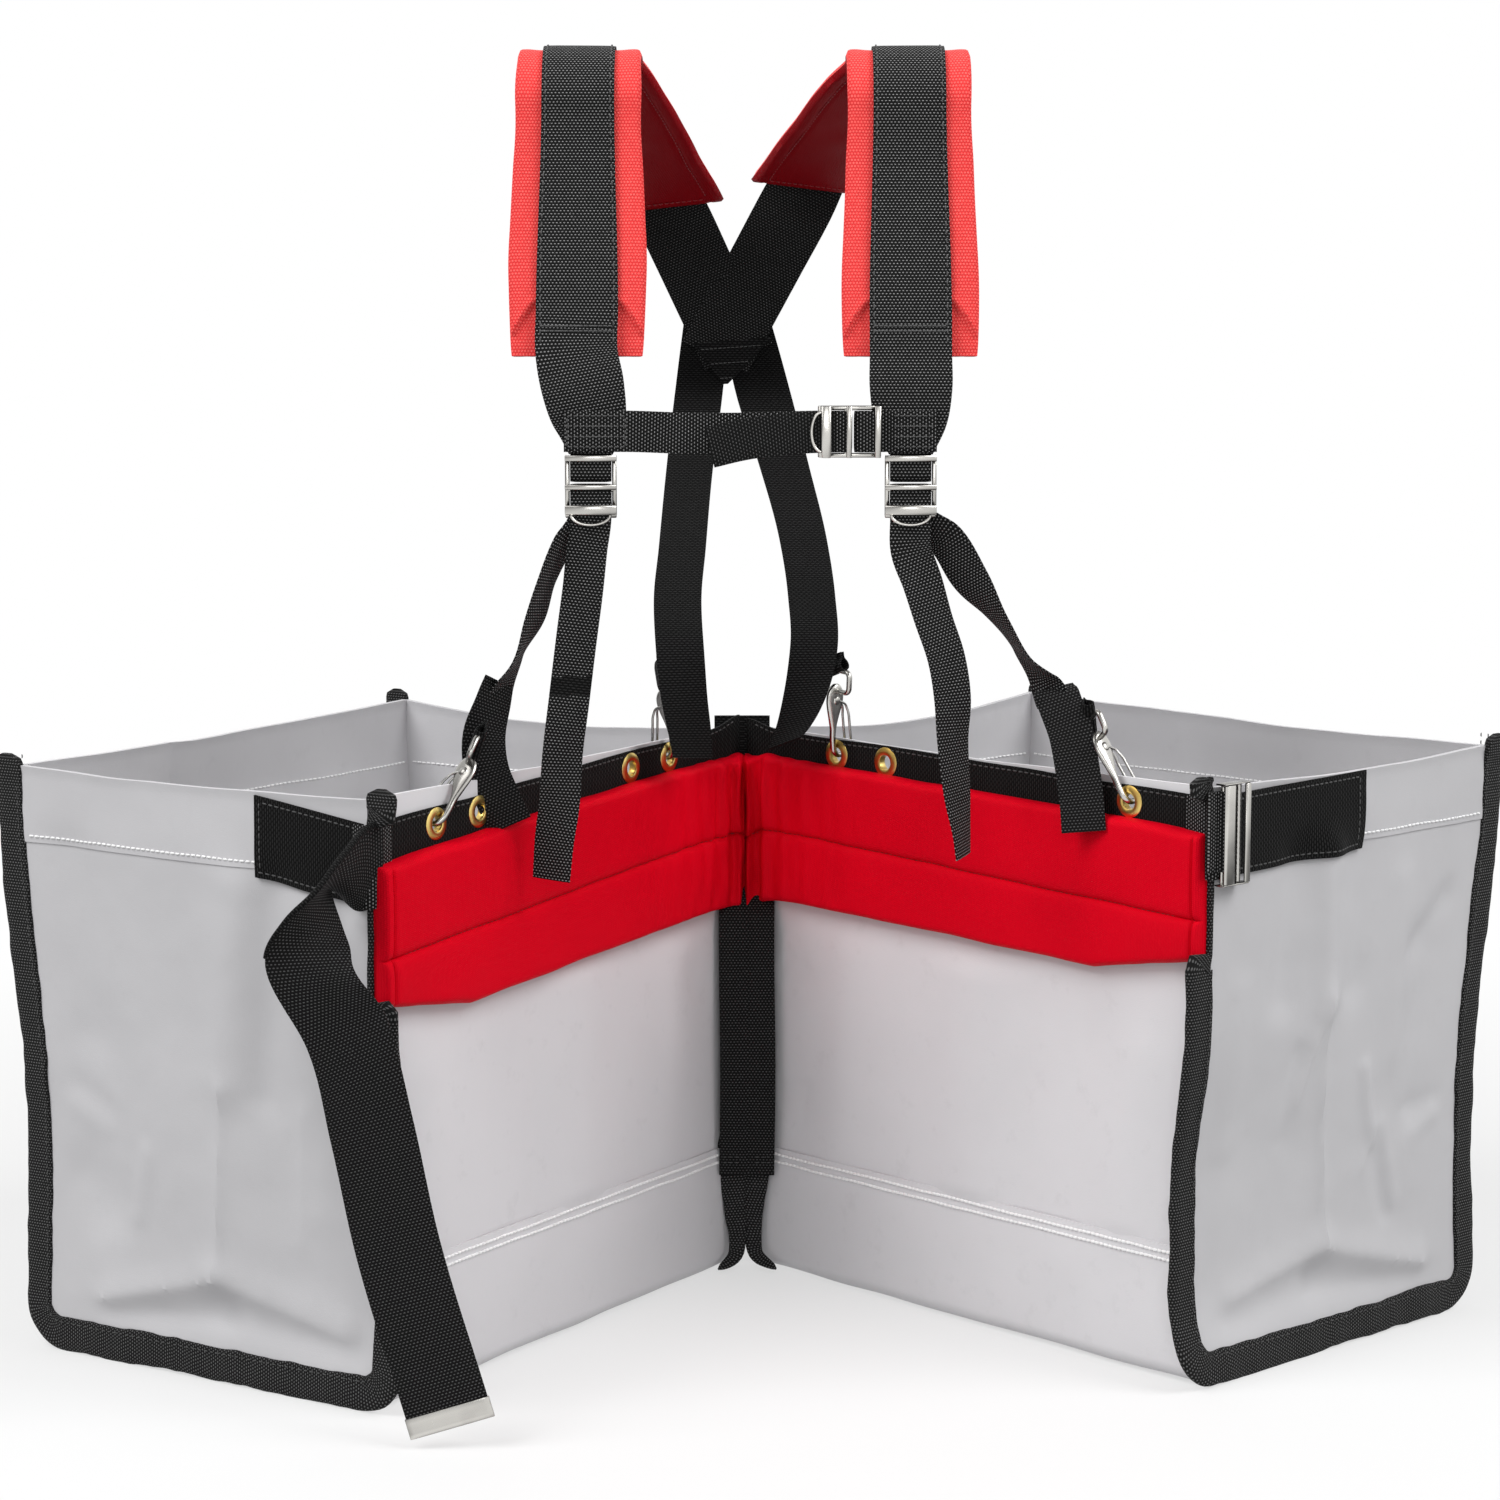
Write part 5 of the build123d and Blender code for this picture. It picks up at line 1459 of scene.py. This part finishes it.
def makeAdjuster(which):
    a = adjuster
    half, foot = a["half"], -a["length"]
    wide = half + a["over"]
    up = (0, 0, 1)

    def rung(reach, deep, level, across, tall, thick, power):
        return barShell((-reach, deep, level), (reach, deep, level), across, tall, thick, power)

    shells = [rung(wide, 0, 0, (0, 1, 0), a["bar"], a["bar"], 2.0)]
    for x in (0.7 - half, half - 0.7):
        shells.append(barShell((x, 0, 1.2), (x, 0, foot + 1), (1, 0, 0), a["rail"], a["thick"]))
    shells.append(rung(half, 0, -a["middle"], up, 3.0, a["thick"], 3.0))
    shells.append(rung(wide, 0, foot + 2, up, *a["endBar"], 2.6))
    # flat cross plates in front of the webbing, bent back to the rails
    for low, high, front in a["plates"]:
        level, tall = (low + high) / 2, high - low
        shells.append(rung(wide, front, level, up, tall, 1.4, 2.4))
        for x in (0.5 - wide, wide - 0.5):
            shells.append(barShell((x, front - 0.4, level), (x, 1.0, level), up, tall, 1.1, 5.0))
    body, place = which + "_adjuster", adjusterPlace(which)
    makePiece(body + "_ladder", shells, "nickel", body, [body + "_frame"], place, 50)
    bow, drop, wire = a["bow"]
    turn = np.linspace(math.pi, 2 * math.pi, 25)
    line = spots(bow * np.cos(turn), -6.4, foot + 1.6 + drop * np.sin(turn))
    makePiece(body + "_lift", [wireShell(line, wire, (0, 1, 0))], "nickel", body, [body + "_bow"], place, 60)


def sewBox(start, end, deep, uprights=()):
    # rows of stitching on an end of the chest strap
    for level in np.linspace(*boxLevels, 4):
        sew("harness", "box", spots(np.linspace(start, end, 12), deep, level), (0, -1, 0))
    for across in uprights:
        sew("harness", "box", spots(across, deep, np.linspace(*boxLevels, 8)), (0, -1, 0))


def makeAnchors():
    # webbing loops that hold the adjusters' bars
    runs = []
    for low in shoulder["lowX"].values():
        route = [(18.0, 2.8)] + anchorLoop
        runs.append([(low, shoulder["front"] + y, adjuster["height"] + z, 1, 0, 0) for z, y in route])
    x, y, z = sternumBar
    route = [(37.0, 2.6), (20.0, 2.6)] + anchorLoop
    runs.append([(x + along, y + deep, z, 0, 0, 1) for along, deep in route])
    shells = [webbingShell(run, strapWidth, step=1.2) for run in runs]
    piece = makePiece("adjuster_loops", shells, "webbing", "harness", ["adjuster_anchors"])
    length = sum(runLength(run, 1.2) for run in runs)
    # the chest strap's end lies on the right webbing
    sewBox(92, 117, y + 1.7)


# Lower straps; stations are a place and the way across
turnRadius = 3.02
frontRuns = {
    "left": {
        "climb": [
            (-154.5, -229.0, 424, 0.60, 0.78, 0), (-150.0, -229.0, 437, 0.45, 0.88, 0),
            (-141.0, -235.0, 454, 0.15, 0.98, 0), (-130.0, -238.0, 479, 0.45, 0.89, 0),
            (-122.0, -239.0, 504, 0.42, 0.90, 0), (-110.0, -238.5, 528, 0.65, 0.75, 0),
        ],
        "tail": [
            (-97.0, -243.1, 524, 1, 0, 0), (-99.5, -243.6, 500, 1, -0.1, 0),
            (-103.5, -244.5, 470, 0.99, 0.1, 0), (-108.5, -245.5, 430, 0.99, 0.12, 0),
            (-113.0, -245.5, 394, 0.97, 0.2, 0), (-115.0, -244.5, 365, 1, 0.0, 0.1),
            (-118.5, -243.5, 340, 0.96, -0.25, 0), (-120.5, -243.0, 316, 0.92, -0.38, 0),
        ],
    },
    "right": {
        "climb": [
            (195.5, -207.0, 424, 0.86, -0.46, 0), (188.5, -205.5, 438, 0.70, -0.70, 0),
            (175.0, -216.0, 455, 0.25, -0.96, 0), (157.5, -230.0, 480, 0.50, -0.86, 0),
            (140.0, -235.0, 505, 0.93, -0.35, 0), (124.0, -237.0, 530, 0.95, -0.30, 0),
        ],
        "tail": [
            (103.2, -243.1, 524, 1, 0, 0), (110.5, -244.0, 503, 0.97, 0.2, 0),
            (117.5, -245.0, 480, 0.93, 0.35, 0), (125.5, -246.5, 456, 0.92, 0.38, 0),
            (129.5, -247.5, 431, 0.90, 0.42, 0), (129.8, -247.5, 406, 0.78, 0.62, 0),
            (133.0, -246.5, 370, 0.66, 0.75, 0), (136.0, -245.5, 345, 0.45, 0.89, 0),
            (137.0, -245.0, 331, 0.38, 0.92, 0),
        ],
    },
}
# chest strap: places from the left webbing to the bar, and steps of its tail from the bar
sternum = {
    "start": [
        (-111.0, -241.9, 596.0), (-90.0, -241.9, 596.0), (-69.1, -241.9, 596.0), (-40.0, -241.7, 595.0),
        (10.0, -241.6, 595.0), (44.0, -241.2, 596.0),
    ],
    "tail": [
        (-8.0, 0, 0), (-18.0, -1.2, -0.2), (-40.0, -1.6, -1.5), (-65.0, -1.8, -5.0), (-84.0, -2.2, -9.5),
    ],
    "box": (-109.0, -73.0),
    "boxDeep": -242.7,
    "tailDeep": -246.3,
}


def barTurn(bar, across, up):
    # up behind a bar, over it and down in front
    turn = np.linspace(0, math.pi, 9)[:, None]
    line = bar + turnRadius * (np.multiply(up, np.sin(turn)) + np.multiply((0, 1, 0), np.cos(turn)))
    return [(*spot, *across) for spot in line]


def makeFrontStrap(side):
    run = frontRuns[side]
    bar = np.array([shoulder["lowX"][side], shoulder["front"], adjuster["height"] - adjuster["middle"]])

    def by(deep, high):
        return (*(bar + (0, deep, high)), 1, 0, 0)

    r = turnRadius
    stations = run["climb"] + [by(r, -16.0), by(r, -6.0)] + barTurn(bar, (1, 0, 0), (0, 0, 1))
    stations = stations + [by(-r, -6.0), by(-r - 0.8, -18.0)] + run["tail"]
    shell = webbingShell(stations, strapWidth, step=2.0)
    # a close-sewn band shows plain on the left strap
    paint = [int(side == "left" and 433 < z < 445 and x > -125) for x, _, z in faceMiddles(shell)]
    piece = makePiece(
        side + "_front_web", [shell], ["webbing", "ribbed"], None, [side + "_front_strap"], paint=paint
    )
    blendPiece(piece, bar + (0, 0, -28.0), stations[1][:3])
    flatSize(strapWidth, runLength(stations, 2.0))


def makeSternumStrap():
    bar = sternumBar - (adjuster["middle"], 0, 0)
    start = sternum["start"] + [bar + (-8.0, turnRadius, 0)]
    stations = [(*spot, 0, 0, 1) for spot in start] + barTurn(bar, (0, 0, 1), (1, 0, 0))
    stations += [(*(bar + (x, y - turnRadius, z)), 0.02, 0, 1) for x, y, z in sternum["tail"]]
    shell = webbingShell(stations, strapWidth, step=2.0)
    # the tail past the bar takes the webbing painted darker as shade
    paint = [int(y < sternum["tailDeep"] and x < bar[0] - 6) for x, y, _ in faceMiddles(shell)]
    piece = makePiece(
        "sternum_web", [shell], ["webbing", "tailWebbing"], "harness", ["sternum_strap"], paint=paint
    )
    flatSize(strapWidth, runLength(stations, 2.0))
    sewBox(*sternum["box"], sternum["boxDeep"], sternum["box"])


backStrap = {
    "width": 31.8,
    "end": 44.5,
    "endHeight": 434.0,
    "leaves": 606.0,
    "lift": {"left": -2.9, "right": -4.7},
    "clear": 1.4,
}
backRuns = {
    # across, height, the way across and the width down the strap below the crossing
    "left": [
        (-25.0, 664, 1, 0, 0, 31.8), (-28.0, 640, 1, 0, 0, 32.5), (-32.0, 606, 1, 0, 0, 33.5),
        (-37.6, 558, 1, 0, 0, 32.2), (-42.0, 505, 1, 0, 0, 31.8), (-44.4, 474, 1, 0, 0, 31.8),
        (-42.4, 444, 1, 0.05, 0, 31.8), (-39.7, 414, 0.95, 0.3, 0, 31.8),
        (-35.5, 386, 0.85, 0.5, -0.06, 31.8), (-34.0, 373, 0.80, 0.6, -0.08, 31.8),
    ],
    "right": [
        (-2.0, 668, 1, 0, 0, 33.0), (3.5, 645, 1, 0, 0, 35.5), (12.8, 606, 1, 0, 0, 38.5),
        (27.0, 558, 1, 0, 0, 34.5), (40.5, 507, 1, 0, 0, 32.2), (45.3, 474, 1, 0, 0, 31.8),
        (46.6, 444, 1, -0.05, 0, 31.8), (41.5, 414, 0.92, -0.35, 0.1, 31.8),
        (32.0, 387, 0.78, -0.6, 0.28, 31.8), (27.0, 378, 0.70, -0.66, 0.36, 31.8),
    ],
}
# stitched triangle where the four straps meet: corners across and up, its two faces and the rows of stitches
crossPatch = {
    "corners": [(-36.0, 641.0), (19.0, 645.0), (-13.5, 611.0)],
    "faces": (3.4, 1.9),
    "rows": (2, 7, 12),
    "flat": (40.0, 26.0),
}
crossFacing = (0, -0.932, -0.363)


def onCrossing(across, high, lift):
    # a place in the slope of the crossed straps, lifted towards the wearer
    _, deep, level = shoulder["cross"]
    slope = deep + (level - high) * 37 / 95
    return spots(across, slope + crossFacing[1] * lift, high + crossFacing[2] * lift)


def makeBackStrap(side):
    b = backStrap
    turn = math.radians(bag["turn"][side])
    edge = b["end"] + b["width"] / 2
    # it ends in front of the hook's loop
    loopFront = grommet["deep"] + hook["arm"] - 3.15 - webThick
    endDeep = -edge * math.tan(turn) + loopFront / math.cos(turn) - b["clear"]
    top = onCrossing(0.0, b["leaves"], b["lift"][side])[1]
    stations = []
    for across, high, *way in backRuns[side]:
        share = np.clip((b["leaves"] - high) / (b["leaves"] - b["endHeight"]), 0, 1)
        deep = onCrossing(across, max(high, b["leaves"]), b["lift"][side])[1]
        deep = deep + (endDeep - top) * (0.6 * ease(share) + 0.4 * share)
        stations.append((across, deep, high, *way))
    shell = webbingShell(stations, b["width"], columns=11, square=False)
    piece = makePiece(side + "_back_web", [shell], "ribbed", None, [side + "_back_strap"])
    blendPiece(piece, (0, top, 600), (sides[side] * b["end"], endDeep, 432))
    flatSize(b["width"], runLength(stations))


def makeCrossPatch():
    a, b, c = np.array(crossPatch["corners"])
    s, t = np.meshgrid(np.linspace(0, 1, 21), np.linspace(0, 0.94, 15))
    flat = (a + (b - a) * s[..., None]) * (1 - t[..., None]) + c * t[..., None]
    front, back = (onCrossing(flat[..., 0], flat[..., 1], lift) for lift in crossPatch["faces"])
    piece = makePiece("crossing_patch", [slabShell(front, back, flat)], "ribbed", "harness")
    for row in crossPatch["rows"]:
        sew("harness", "crossing", front[row, 1:-1], crossFacing)


# Straps at the fold, each in two halves that lap
foldStrap = {"middle": 1.5, "half": 19.05, "lap": 0.5, "deep": -16.5, "low": 70.0, "seams": (9.0, 13.0)}
linkStrap = {"middle": 2.0, "low": 263.0, "high": 387.0, "tilt": 0.04}


def foldHalf(name, side, run, level, finish, node):
    # its inner edge keeps to the harness, its outer edge to the bag
    sign, half, lap = sides[side], foldStrap["half"], foldStrap["lap"]
    stations = [(x + sign * (half - lap) / 2, y, z, 1, 0, tilt) for x, y, z, tilt in run]
    piece = makePiece(side + name, [webbingShell(stations, half + lap)], finish, None, [node])
    x, y = run[-1][:2]
    blendPiece(piece, (x, y, level), (x + sign * half, y, level))
    flatSize(half + lap, runLength(stations))


def makeFoldStraps():
    f, k = foldStrap, linkStrap
    x, deep = f["middle"], f["deep"]
    foldRun = [(x, 0.0, 276, 0), (x, -6.0, 267, 0), (x, deep, 252, 0), (x, deep - 1.5, 220, 0)]
    foldRun += [(x + 0.8, deep - 2.5, 150, 0), (x, deep, f["low"], 0)]
    linkX, linkY, _ = (np.mean(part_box("link_strap"), axis=0) - foldAxis) * 1000
    linkRun = [(linkX + k["middle"], linkY, z, k["tilt"]) for z in np.linspace(k["low"], k["high"], 6)]
    for side in sides:
        # the fold strap takes the webbing painted darker as shade
        foldHalf("_fold_web", side, foldRun, 160, "tailWebbing", "fold_strap")
        foldHalf("_link_web", side, linkRun, 320, "ribbed", "link_strap")
        for rise in f["seams"]:
            line = spots(sides[side] * np.linspace(5, 17, 6) + x, deep - 1.0, f["low"] + rise)
            sew(side + "_bag", "foot", line, (0, -1, 0))


# Belt tail: edge on at the left corner, where its upper edge hides it, open at a bend and down to its tip
beltTail = {
    # place, and the way from the lower edge to the upper one, which becomes the left one
    "run": [
        (-217.0, -337.0, 341.0, 0, 0, 1), (-223.5, -343.0, 340.5, 0, -0.12, 0.99),
        (-234.7, -355.8, 334.0, -0.04, -0.62, 0.78), (-248.2, -367.0, 331.5, -0.06, -0.98, 0.18),
        (-254.0, -378.0, 311.0, -0.60, -0.76, 0.22), (-256.5, -388.0, 293.0, -0.97, -0.20, 0.0),
        (-234.5, -390.0, 250.0, -0.93, 0, -0.37), (-219.8, -392.0, 190.0, -0.96, 0, -0.27),
        (-206.0, -395.0, 124.0, -0.968, 0, -0.25), (-176.0, -403.0, 23.0, -0.95, 0, -0.31),
    ],
    "bend": 5,
    "rolled": 2.3,
    # metal tip: along from its start and half thickness
    "tip": [(0, 1.9), (0.8, 2.15), (3.0, 2.0), (6.0, 1.9), (9.5, 2.0), (11.5, 2.0), (12.6, 1.2)],
    "tipHalf": 26.2,
    "tipLap": 2.0,
}


def makeBeltTail():
    b = beltTail
    stations = b["run"]
    bend = stations[b["bend"]][:3]
    shell = webbingShell(stations, webWidth, step=2.5, columns=13, square=False)
    # the upper edge is rolled from the corner to the bend
    line = smoothRun(stations, 2.0)
    edge = line[:, :3] + unit(line[:, 3:6]) * (webWidth / 2)
    last = np.argmin(np.linalg.norm(line[:, :3] - bend, axis=1))
    rolled = tubeShell(edge[2:last], b["rolled"] * np.linspace(1, 0.55, last - 2))
    # the tail takes the webbing painted darker as shade
    paint = [0] * len(shell[1]) + [1] * len(rolled[1])
    piece = makePiece(
        "belt_tail_web", [shell, rolled], ["tailWebbing", "ribbed"], None, ["belt_tail"], paint=paint
    )
    blendPiece(piece, stations[0][:3], bend)
    flatSize(webWidth, runLength(stations, 2.5))
    end, before = np.array(stations[-1][:3]), np.array(stations[-2][:3])
    fall = unit(end - before)
    across = -np.array(stations[-1][3:])
    across = unit(across - fall * np.dot(across, fall))
    rows = np.array(b["tip"])
    sections = [roundSection(b["tipHalf"], thick, 5.0, 28) for thick in rows[:, 1]]
    line = end + fall * (rows[:, :1] - b["tipLap"])
    crimp = loftShell(sectionAlong(line, across, np.cross(across, fall), sections))
    makePiece("belt_tail_crimp", [crimp], "nickel", "hanging_belt", ["belt_tip"], sharp=50)


for side in sides:
    for panel in panelSet:
        panelSheet(side, panel)
    makeBase(side)
    makeBindings(side)
    print("bag cloth:", side)
    makeBelt(side)
    makeHipPad(side)
    makeGrommets(side)
    makeHookFittings(side)
    makeGuard(side)
    print("hip belt and hooks:", side)
    makeShoulder(side)
    makeAdjuster(side)
    makeFrontStrap(side)
    makeBackStrap(side)
makeCrossPatch()
makeAdjuster("sternum")
makeAnchors()
makeSternumStrap()
makeFoldStraps()
makeBeltTail()
makeBuckle()
makeStitches()
print("pieces made")


def makeFloor():
    mesh = bpy.data.meshes.new("paleFloor")
    half = light["floorHalf"]
    corners = [(-half, -half, 0), (half, -half, 0), (half, half, 0), (-half, half, 0)]
    mesh.from_pydata(corners, [], [(0, 1, 2, 3)])
    floor = bpy.data.objects.new("paleFloor", mesh)
    bpy.context.collection.objects.link(floor)
    material = bpy.data.materials.new("paleFloor")
    material.use_nodes = True
    nodes = Nodes(material.node_tree)
    seen, bounce = nodes.seen(), grey(light["bounce"])
    matt = nodes.node("ShaderNodeBsdfDiffuse", None, {"Color": grey(light["floorColour"])})
    shown = nodes.mix(seen, bounce, grey(light["floorGlow"]))
    glow = nodes.node("ShaderNodeEmission", None, {"Color": shown})
    near = nodes.node("ShaderNodeAddShader", None, {0: matt, 1: glow})
    white = nodes.node("ShaderNodeEmission", None, {"Color": nodes.mix(seen, bounce, grey(1.0))})
    # the floor turns to plain white away from the object
    place = nodes.node("ShaderNodeTexCoord", output=3)
    away = nodes.node("ShaderNodeVectorMath", {"operation": "LENGTH"}, {0: place}, output=1)
    start, end = light["fade"]
    share = ((away - start) / (end - start)).atLeast(0.0).atMost(1.0)
    share = share * share * (3.0 - 2.0 * share)
    both = nodes.node("ShaderNodeMixShader", None, {0: share, 1: near, 2: white})
    nodes.node("ShaderNodeOutputMaterial", None, {0: both})
    mesh.materials.append(material)


def makeStage():
    scene = bpy.context.scene
    scene.world = bpy.data.worlds.new("studio")
    scene.world.use_nodes = True
    nodes = Nodes(scene.world.node_tree)
    level = nodes.mix(nodes.seen(), grey(light["world"]), grey(1.0))
    sky = nodes.node("ShaderNodeBackground", None, {"Color": level})
    nodes.node("ShaderNodeOutputWorld", None, {0: sky})
    aim = Vector(light["aim"])
    for name, place, size, watts in lamps:
        lamp = bpy.data.lights.new(name, "AREA")
        lamp.shape = "SQUARE"
        lamp.size = size
        lamp.energy = watts
        holder = bpy.data.objects.new(name, lamp)
        holder.location = place
        holder.rotation_euler = (aim - Vector(place)).to_track_quat("-Z", "Y").to_euler()
        bpy.context.collection.objects.link(holder)
    camera = bpy.data.cameras.new("photoCamera")
    camera.sensor_width = view["sensor"]
    camera.lens = view["lens"]
    camera.clip_end = 100
    holder = bpy.data.objects.new("photoCamera", camera)
    holder.location = toRow(view["at"])
    holder.rotation_euler = (math.pi / 2 - view["down"], 0, 0)
    bpy.context.collection.objects.link(holder)
    scene.camera = holder
    scene.view_settings.view_transform = "Standard"


makeFloor()
makeStage()
